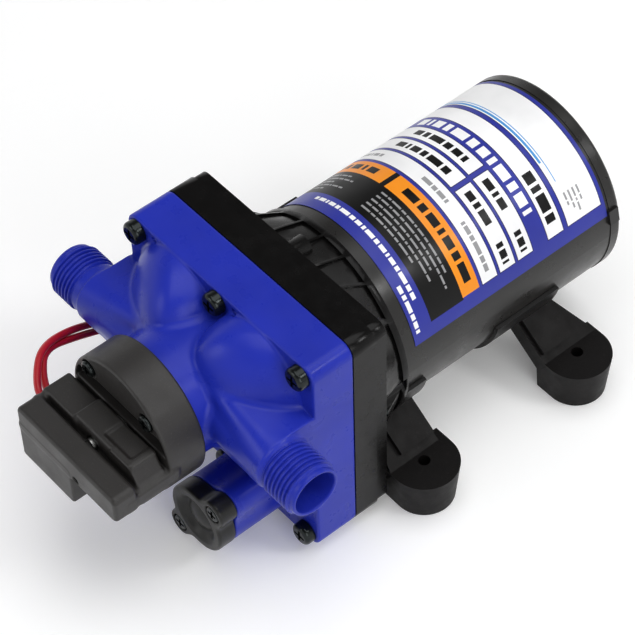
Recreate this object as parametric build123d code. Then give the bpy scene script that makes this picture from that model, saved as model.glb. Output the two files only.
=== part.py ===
from build123d import *
import math
import os

os.makedirs("parts", exist_ok=True)

# A caravan's 12 V diaphragm water pump: a moulded pump head, a drive housing and a
# permanent magnet motor in one line, on two saddles with rubber feet.
# Sizes are in millimetres. Each piece is drawn from the motor's axis, with y = 0 at the
# front face of the head's flange, and then moved so that the part's origin is on the
# floor, in the middle of the four foot holes. X is to the right, Y to the rear, Z up.

# Whole pump
axis_height = 51.0
foot_pitch_x = 104.0
foot_pitch_y = 75.0
foot_centre_y = 84.0

# Clearances and cuts
running_gap = 0.05
press_gap = 0.02
seat_gap = 0.1
loose_gap = 0.3
overrun = 1.5

# Flange of the pump head
flange_width = 98.0
flange_height = 95.0
flange_depth = 17.4
flange_corner = 5.0
flange_edge_round = 0.8
head_wall = 7.4
seam_notch_width = 2.4
seam_notch_depth = 0.7
seam_notch_from_screw = 9.0

# Six screws through the flange, and their cross recess
head_screw_from_side = 6.0
head_screw_from_edge = 5.0
middle_screw_wall = 2.1
head_screw_radius = 2.0
head_screw_head_radius = 4.4
head_screw_head_height = 4.0
head_screw_dome = 1.6
head_screw_room = 0.8
head_screw_length = 29.5
middle_screw_length = 38.6
cross_slot_width = 1.1
cross_slot_length = 5.2
cross_slot_depth = 2.0

# Ports
port_y = -14.4
port_z = 15.1
port_reach = 66.4
port_bore = 8.3
port_bore_depth = 30.4
gallery_radius = 6.5
port_tube_radius = 10.0
thread_radius = 10.6
thread_depth = 1.16
thread_pitch = 1.814
thread_turns = 7
thread_lead_in = 1.0
thread_crest_share = 0.25

# Root of the ports: a duct from the middle out to the tubes, with its back in the flange
root_tube_start = 12.0
root_back = 4.0
root_mid_x = 20.0
root_mid_front = -19.6
root_mid_top = 29.6
root_mid_bottom = -2.4
root_mid_corner = 4.0
root_end_front = -24.6
root_end_top = 25.7
root_end_bottom = 5.0
root_end_corner = 9.0

# Two bulges over the valve chambers
bulge_x = 21.0
bulge_z = 27.2
bulge_width = 41.0
bulge_height = 38.6
bulge_corner = 15.0
bulge_reach = 22.5
bulge_round = 8.0
bulge_cut_x = 22.0
bulge_cut_y = -21.5
bulge_cut_z = 27.0
bulge_cut_direction_shares = (0.62, -0.74, 0.25)

# Water ways inside the head
outlet_chamber_inset = 5.0
outlet_chamber_floor = -1.0
chamber_wall = 2.5
inlet_chamber_inset = 2.4
inlet_chamber_floor = 2.4
inlet_way_x = 28.0
inlet_way_radius = 4.0
inlet_bore_end = 20.0
outlet_way_x = 6.0
outlet_way_z = 9.5
outlet_way_radius = 5.0
outlet_bore_end = -4.0
sensing_way_radius = 3.0

# Valve plate, with a pocket for each of the three pistons
piston_count = 3
piston_pitch_share = 0.546875
first_piston_angle = 90.0
valve_plate_gap = 0.2
pocket_rim = 3.9
pocket_depth = 5.0
valve_hole_radius = 1.3
valve_hole_circle = 3.8
valve_hole_count = 4
inlet_valve_inset = 1.7
inlet_valve_radius = 6.3
inlet_valve_stem = 1.6
inlet_valve_bulb = 2.3
inlet_valve_bulb_height = 1.6
valve_rubber_thickness = 1.0
outlet_valve_inset = 3.0
outlet_valve_stem = 2.4
outlet_hole_inset = 3.2

# Diaphragm
diaphragm_thickness = 2.0
bead_gap = 0.5
bead_width = 2.7
bead_bulge = 1.5

# Front housing plate
front_plate_depth = 9.8
web_thickness = 4.0
web_hole_rim = 0.5
drive_cavity_inset = 2.4

# Drive housing: rear plate, bell and collar
rear_plate_depth = 5.0
rear_plate_inset = 0.6
bell_inset = 2.6
bell_corner = 34.0
bell_depth = 13.8
collar_radius = 41.5
collar_depth = 2.5
drive_rear_wall = 4.0
bell_rib_spacing = 11.0
bell_rib_thickness = 1.0
bell_rib_height = 1.1
bell_rib_pairs = 3
screw_boss_radius = 4.2
screw_boss_depth = 5.8
side_screw_from_side = 5.0
side_screw_z = -2.5
side_screw_radius = 1.6
side_screw_head_radius = 3.0
side_screw_head_height = 2.2
side_screw_length = 12.0

# Wobble plate and its drive
wobble_tilt = 2.5
wobble_pivot_behind_flange = 1.0
pad_inset = 0.5
pad_height = 6.0
wobble_thickness = 5.0
lobe_inset = 1.0
wobble_centre_radius = 20.0
wobble_hub_radius = 18.0
wobble_hub_height = 7.0
piston_thickness = 2.0
piston_screw_radius = 1.6
piston_screw_head = 3.2
piston_screw_head_height = 1.5
piston_screw_length = 8.0
wobble_bearing_bore = 6.0
wobble_bearing_outer = 14.0
wobble_bearing_width = 8.0
race_wall = 2.0
ball_count = 8
hub_radius = 9.0
hub_length = 5.6
hub_wall_gap = 0.5
set_screw_radius = 1.5
set_screw_depth = 4.5

# Motor
shaft_radius = 4.0
shaft_bearing_radius = 11.0
shaft_bearing_width = 7.0
can_radius = 39.7
can_wall = 1.8
can_length = 99.0
end_plate_thickness = 3.0
end_bell_radius = 40.0
end_bell_thickness = 5.0
end_bell_edge_round = 1.6
end_bell_boss_radius = 14.0
end_bell_boss_height = 4.5
end_bell_rear_wall = 2.0
magnet_thickness = 6.0
magnet_length = 63.0
magnet_from_can_front = 11.5
magnet_arc = 130.0
core_radius = 30.0
core_length = 53.0
core_from_can_front = 16.5
slot_count = 12
slot_circle = 23.5
slot_radius = 3.4
slot_neck = 2.0
winding_radius = 3.2
winding_end = 6.5
winding_end_inner = 12.0
winding_end_outer = 27.0
commutator_radius = 11.0
commutator_length = 10.0
commutator_gap = 2.0
commutator_groove = 0.6
commutator_groove_depth = 1.0
brush_width = 6.0
brush_length = 10.0
brush_height = 6.0
brush_wall = 0.8
brush_holder_length = 18.0
brush_spring_wire = 0.5
brush_spring_radius = 2.2
brush_spring_turns = 6
brush_card_thickness = 3.0
brush_card_inner = 15.0
tie_bolt_pitch_radius = 34.6
tie_bolt_radius = 1.9
tie_bolt_head_radius = 3.2
tie_bolt_head_height = 2.4
motor_screw_circle = 27.0
motor_screw_count = 4
motor_screw_radius = 2.0
motor_screw_head_radius = 3.4
motor_screw_head_height = 2.2
crimp_tab_width = 6.0
crimp_tab_thickness = 1.0
crimp_tab_root = 1.0
crimp_tab_angles = (13.3, 166.7, 270.0)
label_front = 54.2
label_length = 92.0
label_lower_angle = 15.0
label_thickness = 0.25

# Saddles under the motor
saddle_thickness = 1.5
saddle_top_angle = -12.5
rear_saddle_front = 92.0
rear_saddle_length = 30.0
front_saddle_front = 49.0
front_saddle_length = 9.0
tab_thickness = 2.0
tab_width = 11.0
tab_start = (31.4, -25.4)
tab_end = (44.0, -36.6)

# Rubber feet; the spans along Y are from the hole of each foot
foot_thickness = 17.0
foot_radius = 13.0
foot_base_radius = 11.5
foot_inner_x = 44.0
foot_hole_radius = 2.25
leg_start = (31.5, -26.5)
leg_thickness = 7.0
front_leg_start = (-8.5, 9.9)
front_leg_end = (-13.0, 9.9)
rear_leg_start = (-13.0, 4.0)
rear_leg_end = (-13.0, 13.0)
sleeve_rise = 2.0
sleeve_end_share = 0.77
front_sleeve = (-6.0, 9.4)
rear_sleeve = (-11.8, 2.8)

# Pressure switch
switch_z = 12.5
switch_rear = -28.0
switch_radius = 26.4
switch_base_depth = 5.0
switch_front = -43.0
switch_boss_radius = 23.0
switch_seal_thickness = 1.2
switch_seal_radius = 18.0
switch_chamber_radius = 13.0
switch_chamber_depth = 4.6
block_left = -26.7
block_right = 20.9
block_front = -55.4
block_top = 17.9
block_low_top = 16.3
block_step_x = -9.0
groove_floor = 9.0
bar_rear = -58.6
bar_front = -67.3
bar_right = 27.4
bar_top = 17.2
bar_bottom = 6.0
block_bottom = 6.0
terminal_right = 2.0
terminal_bottom = -8.0
block_edge_round = 1.6
corner_pocket_pitch = 15.5
corner_pocket_radius = 5.2
corner_pocket_depth = 0.4
cover_screw_radius = 1.5
cover_screw_head_radius = 3.1
cover_screw_head_height = 2.2
cover_screw_length = 14.6
plunger_radius = 11.5
plunger_thickness = 1.8
plunger_travel = 1.0
plunger_post_radius = 2.2
plunger_post_height = 2.4
switch_spring_wire = 0.8
switch_spring_radius = 3.5
switch_spring_turns = 5
spring_bore_radius = 4.6
spring_seat_radius = 4.3
spring_seat_thickness = 1.6
adjuster_radius = 2.3
adjuster_stand_out = 1.1
adjuster_length = 8.8
adjuster_slot_width = 0.8
adjuster_slot_depth = 0.9
micro_switch_width = 13.0
micro_switch_depth = 11.0
micro_switch_height = 6.0
micro_switch_x = -15.5
micro_switch_z = 11.0
micro_button_x = -10.2
micro_button_radius = 1.0
terminal_length = 10.0
terminal_thickness = 0.8
terminal_rear = -50.0

# Bypass valve
bypass_x = 20.5
bypass_z = -30.8
bypass_boss_depth = 24.0
bypass_cover_depth = 7.4
bypass_radius = 13.2
bypass_ear_radius = 5.0
bypass_ear_offset = 15.9
bypass_ear_direction_shares = (0.625, 0.78)
bypass_bore_radius = 8.0
bypass_bore_floor = -2.0
bypass_poppet_radius = 7.5
bypass_poppet_thickness = 3.0
bypass_poppet_post = 2.2
bypass_poppet_post_height = 6.0
bypass_seat_radius = 3.0
bypass_spring_wire = 0.9
bypass_spring_radius = 4.0
bypass_spring_turns = 6
bypass_dish_radius = 9.5
bypass_dish_depth = 2.4
bypass_screw_radius = 1.5
bypass_screw_head_radius = 3.2
bypass_screw_head_height = 2.6
bypass_screw_length = 16.0
bypass_drilling_radius = 1.5

# Leads from the pressure switch to the motor, and the sockets they come out of
lead_radius = 1.35
lead_hole_gap = 0.1
lead_outer_route = [
    (-20.0, -55.5, 6.5), (-30.5, -55.5, 6.5), (-39.5, -51.0, 8.5), (-46.8, -42.0, 8.0),
    (-51.0, -27.0, 3.0), (-53.2, -10.0, -3.0), (-54.0, 12.0, -5.0), (-52.5, 34.0, -3.0),
    (-47.0, 47.0, 0.5), (-44.0, 58.0, 2.0), (-44.0, 68.0, 2.0),
]
lead_inner_route = [
    (-20.0, -51.9, 5.0), (-30.0, -51.9, 5.0), (-38.0, -47.5, 6.0), (-44.0, -39.5, 5.0),
    (-48.5, -27.0, 0.0), (-51.4, -10.0, -7.0), (-52.4, 12.0, -9.2), (-51.6, 34.0, -7.5),
    (-47.0, 47.0, -4.0), (-44.0, 58.0, -2.2), (-44.0, 68.0, -2.2),
]
lead_arc_share = 0.45
grommet_front = 60.0
grommet_length = 12.0
grommet_stand_out = 7.6
grommet_height = 11.0
supply_grommet_y = 138.0
supply_grommet_z = -9.0
supply_grommet_radius = 4.5
supply_grommet_stand_out = 4.0
supply_hole_pitch = 4.0

# Places that follow from the sizes above
head_screw_x = flange_width / 2 - head_screw_from_side
head_screw_z = flange_height / 2 - head_screw_from_edge
side_screw_x = flange_width / 2 - side_screw_from_side
root_end_x = flange_width / 2
head_recess_radius = head_screw_z - head_screw_radius - middle_screw_wall
drive_cavity_radius = head_recess_radius - drive_cavity_inset
valve_plate_radius = head_recess_radius - valve_plate_gap
piston_pitch_radius = head_recess_radius * piston_pitch_share
pocket_radius = head_recess_radius - pocket_rim - piston_pitch_radius
bead_outer = pocket_radius - bead_gap
bead_inner = bead_outer - bead_width
pad_radius = bead_inner - pad_inset
web_hole_radius = pocket_radius + web_hole_rim
lobe_radius = pocket_radius - lobe_inset
outlet_chamber_radius = piston_pitch_radius - outlet_chamber_inset
inlet_chamber_inner = outlet_chamber_radius + chamber_wall
inlet_chamber_outer = head_recess_radius - inlet_chamber_inset
inlet_valve_pitch_radius = (piston_pitch_radius + pocket_radius - inlet_valve_radius
                            - inlet_valve_inset)
outlet_valve_radius = outlet_chamber_radius - outlet_valve_inset
outlet_hole_pitch_radius = outlet_valve_radius - outlet_hole_inset
valve_plate_front = head_wall
flange_back = flange_depth
diaphragm_back = flange_back + diaphragm_thickness
web_back = diaphragm_back + web_thickness
front_plate_back = flange_back + front_plate_depth
rear_plate_back = front_plate_back + rear_plate_depth
bell_back = rear_plate_back + bell_depth
can_front = bell_back + collar_depth
drive_cavity_back = can_front - drive_rear_wall
can_back = can_front + can_length
end_plate_back = can_front + end_plate_thickness
end_bell_back = can_back + end_bell_thickness
can_inner = can_radius - can_wall
pad_front = diaphragm_back
pad_back = pad_front + pad_height
wobble_back = pad_back + wobble_thickness
wobble_hub_back = wobble_back + wobble_hub_height
wobble_pivot_y = flange_back + wobble_pivot_behind_flange
wobble_bearing_front = wobble_hub_back - wobble_bearing_width - loose_gap
hub_back = drive_cavity_back - hub_wall_gap
hub_front = hub_back - hub_length
core_front = can_front + core_from_can_front
core_back = core_front + core_length
commutator_front = core_back + winding_end + commutator_gap
commutator_back = commutator_front + commutator_length
brush_y = commutator_front + commutator_length / 2
brush_card_front = brush_y + brush_width / 2 + seat_gap + brush_wall
rear_bearing_back = end_bell_back - end_bell_rear_wall
rear_bearing_front = rear_bearing_back - shaft_bearing_width
shaft_back = rear_bearing_back - loose_gap
switch_split = switch_rear - switch_base_depth
switch_chamber_front = switch_split - switch_seal_thickness / 2 - switch_chamber_depth
plunger_back = switch_split - switch_seal_thickness / 2
plunger_front = plunger_back - plunger_thickness
micro_button_height = plunger_front - plunger_travel - seat_gap - switch_chamber_front
spring_seat_back = block_front + adjuster_length - adjuster_stand_out + spring_seat_thickness
bypass_front = -bypass_boss_depth
bypass_cover_front = bypass_front - bypass_cover_depth
piston_angles = [first_piston_angle + 360 / piston_count * i for i in range(piston_count)]
head_screw_places = [(x, z) for z in (head_screw_z, -head_screw_z)
                     for x in (-head_screw_x, 0, head_screw_x)]


# Shapes along the motor's axis
def disc(radius, front, back, x=0, z=0):
    """A round piece along Y from one place to another."""
    return Pos(x, (front + back) / 2, z) * Rot(X=90) * Cylinder(radius, back - front)


def ring(outer, inner, front, back, x=0, z=0):
    """A tube along Y."""
    hole = disc(inner, front - overrun, back + overrun, x, z)
    return disc(outer, front, back, x, z) - hole


def taper(front_radius, back_radius, front, back, x=0, z=0):
    """A cone's frustum along Y."""
    middle = (front + back) / 2
    return Pos(x, middle, z) * Rot(X=90) * Cone(back_radius, front_radius, back - front)


def rod_x(radius, left, right, y, z):
    """A round piece along X."""
    return Pos((left + right) / 2, y, z) * Rot(Y=90) * Cylinder(radius, right - left)


def block(left, right, front, back, bottom, top):
    """A box between six planes."""
    middle = Pos((left + right) / 2, (front + back) / 2, (bottom + top) / 2)
    return middle * Box(right - left, back - front, top - bottom)


def plate(width, height, corner, front, back):
    """A rounded rectangle across the axis."""
    outline = Plane.XZ.offset(-back) * RectangleRounded(width, height, corner)
    return extrude(outline, back - front)


def polar(radius, angle):
    """X and Z of a point on a circle about the axis."""
    turn = math.radians(angle)
    return radius * math.cos(turn), radius * math.sin(turn)


def wedge(reach, start, end, front, back):
    """The space between two directions from the axis, counted from +X towards +Z."""
    steps = max(2, math.ceil((end - start) / 60))
    turns = [start + (end - start) * i / steps for i in range(steps + 1)]
    corners = [(0, 0)] + [polar(reach, turn) for turn in turns]
    face = make_face(Plane.XZ.offset(-back) * Polyline(*corners, close=True))
    return extrude(face, back - front)


def side_slab(points, front, back):
    """A piece with its outline drawn in X and Z, whichever way the outline turns."""
    face = make_face(Plane.XZ.offset(-back) * Polyline(*points, close=True))
    return extrude(face, back - front, dir=(0, -1, 0))


def coil(radius, wire, turns, front, back):
    """A coil spring along Y between two places, the wire's surface included."""
    length = back - front - 2 * wire
    path = Helix(length / turns, length, radius)
    start = path @ 0
    section = Plane(origin=start, z_dir=path % 0) * Circle(wire)
    wound = sweep(section, path=path)
    return Pos(0, back - wire, 0) * Rot(X=90) * wound


def bearing(outer, bore, width, front):
    """Outer ring, inner ring and balls of a ball bearing."""
    outer_race_inner = outer - race_wall
    inner_race_outer = bore + race_wall
    ball_radius = (outer_race_inner - inner_race_outer) / 2 - running_gap
    ball_circle = (outer_race_inner + inner_race_outer) / 2
    outer_ring = ring(outer, outer_race_inner, front, front + width)
    inner_ring = ring(inner_race_outer, bore, front, front + width)
    balls = []
    for i in range(ball_count):
        x, z = polar(ball_circle, 360 / ball_count * i)
        balls.append(Pos(x, front + width / 2, z) * Sphere(ball_radius))
    return outer_ring, inner_ring, balls


def cross_screw(head_radius, head_height, dome, radius, length, x, z, seat):
    """A cross-head screw with its head in front of its seat and its shank behind."""
    head = disc(head_radius, seat - head_height, seat, x, z)
    head = fillet(head.edges().sort_by(Axis.Y)[0], dome)
    slot_half = min(cross_slot_length / 2, head_radius - cross_slot_width)
    slot_end = seat - head_height + min(cross_slot_depth, head_height / 2)
    slot_start = seat - head_height - overrun
    across = block(x - slot_half, x + slot_half, slot_start, slot_end,
                   z - cross_slot_width / 2, z + cross_slot_width / 2)
    upright = block(x - cross_slot_width / 2, x + cross_slot_width / 2, slot_start,
                    slot_end, z - slot_half, z + slot_half)
    return head + disc(radius, seat, seat + length, x, z) - across - upright


def tilted(shape):
    """A piece of the wobble plate, turned with it about its pivot."""
    pivot = Pos(0, wobble_pivot_y, 0)
    return pivot * Rot(X=wobble_tilt) * pivot.inverse() * shape


# Pump head
def port_outline(side, thread_start):
    """A port's tube, with its thread as closed ridges, along X from the root."""
    thread_root = thread_radius - thread_depth
    thread_end = port_reach - thread_lead_in
    points = [(root_tube_start, 0), (root_tube_start, port_tube_radius)]
    points.append((thread_start, port_tube_radius))
    points.append((thread_start, thread_root))
    run = thread_end - thread_start
    ridges = round(run / thread_pitch)
    step = run / ridges
    for i in range(ridges):
        start = thread_start + step * i
        points.append((start + step * thread_crest_share, thread_radius))
        points.append((start + step * 2 * thread_crest_share, thread_radius))
        points.append((start + step * 3 * thread_crest_share, thread_root))
    points.append((port_reach, thread_root))
    points.append((port_reach, 0))
    turned = revolve(make_face(Polyline(*points, close=True)), axis=Axis.X)
    if side < 0:
        turned = mirror(turned, about=Plane.YZ)
    return Pos(0, port_y, port_z) * turned


def duct_section(x, front, bottom, top, corner):
    """A rounded rectangle across the ports' axis."""
    centre = Pos((front + root_back) / 2, (bottom + top) / 2)
    outline = RectangleRounded(root_back - front, top - bottom, corner)
    return Plane.YZ.offset(x) * centre * outline


def port_root():
    """The duct behind the ports: flat faces in the middle that round off to the tubes."""
    middle = duct_section(-root_mid_x, root_mid_front, root_mid_bottom, root_mid_top,
                          root_mid_corner)
    duct = extrude(middle, 2 * root_mid_x)
    for side in (-1, 1):
        ends = [duct_section(side * root_mid_x, root_mid_front, root_mid_bottom,
                             root_mid_top, root_mid_corner),
                duct_section(side * root_end_x, root_end_front, root_end_bottom,
                             root_end_top, root_end_corner)]
        duct += loft(ends)
    return duct


def bypass_outline(radius, ear_radius, front, back):
    """The bypass valve's round body with its two ears."""
    shape = disc(radius, front, back, bypass_x, bypass_z)
    for x, z in bypass_ears():
        shape += disc(ear_radius, front, back, x, z)
        middle_x = (x + bypass_x) / 2
        middle_z = (z + bypass_z) / 2
        shape += disc(ear_radius, front, back, middle_x, middle_z)
    return shape


def bulge(side):
    """A rounded block with its outer front corner taken off on a slant."""
    outline = Plane.XZ * RectangleRounded(bulge_width, bulge_height, bulge_corner)
    body = Pos(bulge_x, 0, bulge_z) * extrude(outline, bulge_reach)
    body = fillet(body.faces().sort_by(Axis.Y)[0].edges(), bulge_round)
    slant = Plane(origin=(bulge_cut_x, bulge_cut_y, bulge_cut_z),
                  z_dir=bulge_cut_direction_shares)
    body = split(body, bisect_by=slant, keep=Keep.BOTTOM)
    return body if side > 0 else mirror(body, about=Plane.YZ)


def ear_web(run_x, run_z):
    """The straight sides that join an ear of the bypass valve to its round body."""
    reach = math.hypot(run_x, run_z)
    middle = math.atan2(run_z, run_x)
    lean = math.acos((bypass_radius - bypass_ear_radius) / reach)
    points = []
    for turn in (-lean, lean):
        across = math.cos(middle + turn)
        up = math.sin(middle + turn)
        on_body = (bypass_x + bypass_radius * across, bypass_z + bypass_radius * up)
        on_ear = (bypass_x + run_x + bypass_ear_radius * across,
                  bypass_z + run_z + bypass_ear_radius * up)
        points += [on_body, on_ear] if turn < 0 else [on_ear, on_body]
    return side_slab(points, bypass_front, 0)


def bypass_ears():
    """The places of the bypass cover's two screws."""
    across, up = bypass_ear_direction_shares
    return [(bypass_x + bypass_ear_offset * across * side,
             bypass_z + bypass_ear_offset * up * side) for side in (-1, 1)]


def pump_head():
    flange = plate(flange_width, flange_height, flange_corner, 0, flange_back)
    flange = fillet(flange.faces().sort_by(Axis.Y)[0].edges(), flange_edge_round)
    right_thread_start = root_end_x + thread_pitch
    left_thread_start = port_reach - thread_lead_in - thread_pitch * thread_turns
    body = flange + port_root()
    body += port_outline(1, right_thread_start)
    body += port_outline(-1, left_thread_start)
    for side in (-1, 1):
        body += bulge(side)
    body += disc(switch_boss_radius, switch_rear, 0, 0, switch_z)
    body += bypass_outline(bypass_radius, bypass_ear_radius, bypass_front, 0)
    for x, z in bypass_ears():
        body += ear_web(x - bypass_x, z - bypass_z)
    return body - head_waterways() - head_screw_holes() - bypass_bore()


def head_waterways():
    cuts = disc(head_recess_radius, head_wall, flange_back + overrun)
    cuts += disc(outlet_chamber_radius, outlet_chamber_floor, head_wall + overrun)
    inlet = ring(inlet_chamber_outer, inlet_chamber_inner, inlet_chamber_floor,
                 head_wall + overrun)
    cuts += inlet
    bore_end = port_reach - port_bore_depth
    cuts += rod_x(port_bore, -port_reach - overrun, -bore_end, port_y, port_z)
    cuts += rod_x(port_bore, bore_end, port_reach + overrun, port_y, port_z)
    cuts += rod_x(gallery_radius, -bore_end - overrun, -inlet_bore_end, port_y, port_z)
    cuts += rod_x(gallery_radius, outlet_bore_end, bore_end + overrun, port_y, port_z)
    cuts += disc(inlet_way_radius, port_y, inlet_chamber_floor + overrun,
                 -inlet_way_x, port_z)
    cuts += disc(outlet_way_radius, port_y, outlet_chamber_floor + overrun,
                 outlet_way_x, outlet_way_z)
    cuts += disc(sensing_way_radius, switch_rear - overrun, port_y, 0, switch_z)
    return cuts


def head_screw_holes():
    cuts = Part()
    for x, z in head_screw_places:
        cuts += disc(head_screw_radius + loose_gap, -overrun, flange_back + overrun, x, z)
        cuts += disc(head_screw_head_radius + head_screw_room, -bulge_reach - overrun, 0, x, z)
        notch_x = x + seam_notch_from_screw
        if z > 0 and x < head_screw_x:
            cuts += block(notch_x - seam_notch_width / 2, notch_x + seam_notch_width / 2,
                          -overrun, seam_notch_depth,
                          flange_height / 2 - seam_notch_width - seam_notch_depth,
                          flange_height / 2 - seam_notch_width)
    for x in (-corner_pocket_pitch, corner_pocket_pitch):
        for z in (switch_z - corner_pocket_pitch, switch_z + corner_pocket_pitch):
            reach = switch_front + corner_pocket_depth + cover_screw_length + loose_gap
            cuts += disc(cover_screw_radius + press_gap, switch_rear - overrun, reach, x, z)
    return cuts


def bypass_bore():
    """The bypass valve's chamber, its seat and the drillings that join it to the ways."""
    cuts = disc(bypass_bore_radius, bypass_front - overrun, bypass_bore_floor,
                bypass_x, bypass_z)
    away = math.hypot(bypass_x, bypass_z)
    toward_x, toward_z = bypass_x / away, bypass_z / away
    drilling_y = (outlet_chamber_floor + inlet_chamber_floor) / 2 - bypass_drilling_radius
    start = Vector(0, drilling_y, 0)
    direction = Vector(toward_x, 0, toward_z)
    drilling_plane = Plane(origin=start, z_dir=direction)
    inner = outlet_chamber_radius - overrun
    drilling = extrude(drilling_plane.offset(inner) * Circle(bypass_drilling_radius),
                       away - inner)
    cuts += drilling
    cuts += disc(bypass_seat_radius, bypass_bore_floor - overrun,
                 drilling_y, bypass_x, bypass_z)
    return_x = bypass_x - (bypass_bore_radius - bypass_drilling_radius) * toward_x
    return_z = bypass_z - (bypass_bore_radius - bypass_drilling_radius) * toward_z
    cuts += disc(bypass_drilling_radius, bypass_bore_floor - overrun,
                 inlet_chamber_floor + overrun,
                 return_x + bypass_bore_radius / 2 * toward_z,
                 return_z - bypass_bore_radius / 2 * toward_x)
    for x, z in bypass_ears():
        reach = bypass_cover_front + bypass_screw_head_height + bypass_screw_length
        cuts += disc(bypass_screw_radius + press_gap, bypass_front - overrun,
                     reach + loose_gap, x, z)
    return cuts


def head_screws():
    """Four screws at the corners, and two longer ones at the middle of the long sides."""
    screws = []
    for x, z in head_screw_places:
        length = head_screw_length if x else middle_screw_length
        screws.append(cross_screw(head_screw_head_radius, head_screw_head_height,
                                  head_screw_dome, head_screw_radius, length, x, z, 0))
    return screws


# Valves
def valve_plate():
    body = disc(valve_plate_radius, valve_plate_front, flange_back)
    pocket_floor = flange_back - pocket_depth
    body -= disc(outlet_valve_stem, valve_plate_front - overrun, flange_back + overrun)
    for angle in piston_angles:
        x, z = polar(piston_pitch_radius, angle)
        body -= disc(pocket_radius, pocket_floor, flange_back + overrun, x, z)
        x, z = polar(inlet_valve_pitch_radius, angle)
        body -= disc(inlet_valve_stem, valve_plate_front - overrun,
                     flange_back + overrun, x, z)
        for i in range(valve_hole_count):
            hole_x, hole_z = polar(valve_hole_circle, 360 / valve_hole_count * i)
            body -= disc(valve_hole_radius, valve_plate_front - overrun,
                         flange_back + overrun, x + hole_x, z + hole_z)
        x, z = polar(outlet_hole_pitch_radius, angle)
        body -= disc(valve_hole_radius, valve_plate_front - overrun,
                     flange_back + overrun, x, z)
    return body


def inlet_valve(angle):
    """A rubber umbrella valve in a pocket, held by its bulb in front of the plate."""
    x, z = polar(inlet_valve_pitch_radius, angle)
    pocket_floor = flange_back - pocket_depth
    shape = taper(inlet_valve_radius, inlet_valve_radius / 2, pocket_floor,
                  pocket_floor + valve_rubber_thickness, x, z)
    shape += disc(inlet_valve_stem, valve_plate_front, pocket_floor, x, z)
    shape += disc(inlet_valve_bulb, valve_plate_front - inlet_valve_bulb_height,
                  valve_plate_front, x, z)
    return shape


def outlet_valve():
    """The rubber disc valve in the outlet chamber, held by its bulb behind the plate."""
    shape = taper(outlet_valve_radius / 2, outlet_valve_radius,
                  valve_plate_front - valve_rubber_thickness, valve_plate_front)
    shape += disc(outlet_valve_stem, valve_plate_front, flange_back - pocket_depth)
    return shape


def diaphragm():
    """A rubber disc with a rolled ring round each of its three driven centres."""
    body = disc(valve_plate_radius, flange_back, diaphragm_back)
    for angle in piston_angles:
        x, z = polar(piston_pitch_radius, angle)
        body -= disc(bead_inner, flange_back - overrun, diaphragm_back + overrun, x, z)
    for angle in piston_angles:
        x, z = polar(piston_pitch_radius, angle)
        centre = disc((bead_inner + bead_outer) / 2, flange_back, diaphragm_back, x, z)
        centre -= disc(piston_screw_radius + seat_gap, flange_back - overrun,
                       diaphragm_back + overrun, x, z)
        body += tilted(centre)
        body += ring(bead_outer, bead_inner, flange_back - bead_bulge,
                     diaphragm_back + bead_bulge, x, z)
    return body


# Housings
def front_plate():
    body = plate(flange_width, flange_height, flange_corner, flange_back, front_plate_back)
    body -= disc(head_recess_radius, flange_back - overrun, diaphragm_back)
    body -= disc(drive_cavity_radius, web_back, front_plate_back + overrun)
    for angle in piston_angles:
        x, z = polar(piston_pitch_radius, angle)
        body -= disc(web_hole_radius, flange_back, web_back + overrun, x, z)
    for x, z in head_screw_places:
        body -= disc(head_screw_radius + loose_gap, flange_back - overrun,
                     front_plate_back + overrun, x, z)
    for side in (-1, 1):
        reach = rear_plate_back - side_screw_length
        body -= disc(side_screw_radius + press_gap, reach - loose_gap,
                     front_plate_back + overrun, side * side_screw_x, side_screw_z)
    return body


def bell_envelope(gap):
    """The bell's outside, from a rounded square at the rear plate to the round collar."""
    width = flange_width - 2 * bell_inset + 2 * gap
    height = flange_height - 2 * bell_inset + 2 * gap
    square = RectangleRounded(width, height, bell_corner + gap)
    base = Plane.XZ.offset(-rear_plate_back) * square
    mouth = Plane.XZ.offset(-bell_back) * Circle(collar_radius + gap)
    return loft([base, mouth])


def bell():
    """The ribbed bell: ribs stand a little out of it, in planes across X."""
    full = bell_envelope(0)
    shape = bell_envelope(-bell_rib_height)
    for i in range(-bell_rib_pairs, bell_rib_pairs + 1):
        middle = bell_rib_spacing * i
        slab = block(middle - bell_rib_thickness / 2, middle + bell_rib_thickness / 2,
                     rear_plate_back, bell_back, -flange_height, flange_height)
        shape += full & slab
    return shape


def drive_housing():
    inset = 2 * rear_plate_inset
    body = plate(flange_width - inset, flange_height - inset,
                 flange_corner - rear_plate_inset, front_plate_back, rear_plate_back)
    body += bell()
    body += disc(collar_radius, bell_back, can_front)
    for z in (-head_screw_z, head_screw_z):
        body += disc(screw_boss_radius, rear_plate_back,
                     rear_plate_back + screw_boss_depth, 0, z)
    for side in (-1, 1):
        body -= disc(screw_boss_radius, rear_plate_back, bell_back + overrun,
                     side * side_screw_x, side_screw_z)
        body -= disc(side_screw_radius + loose_gap, front_plate_back - overrun,
                     rear_plate_back + overrun, side * side_screw_x, side_screw_z)
    body -= disc(drive_cavity_radius, front_plate_back - overrun, drive_cavity_back)
    body -= disc(shaft_bearing_radius + press_gap, drive_cavity_back - overrun,
                 can_front + overrun)
    for x, z in head_screw_places:
        length = middle_screw_length if x == 0 else head_screw_length
        body -= disc(head_screw_radius + running_gap, front_plate_back - overrun,
                     length + seat_gap, x, z)
    for x, z in motor_screw_places():
        body -= disc(motor_screw_radius + running_gap, drive_cavity_back - overrun,
                     can_front + overrun, x, z)
    return body


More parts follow.
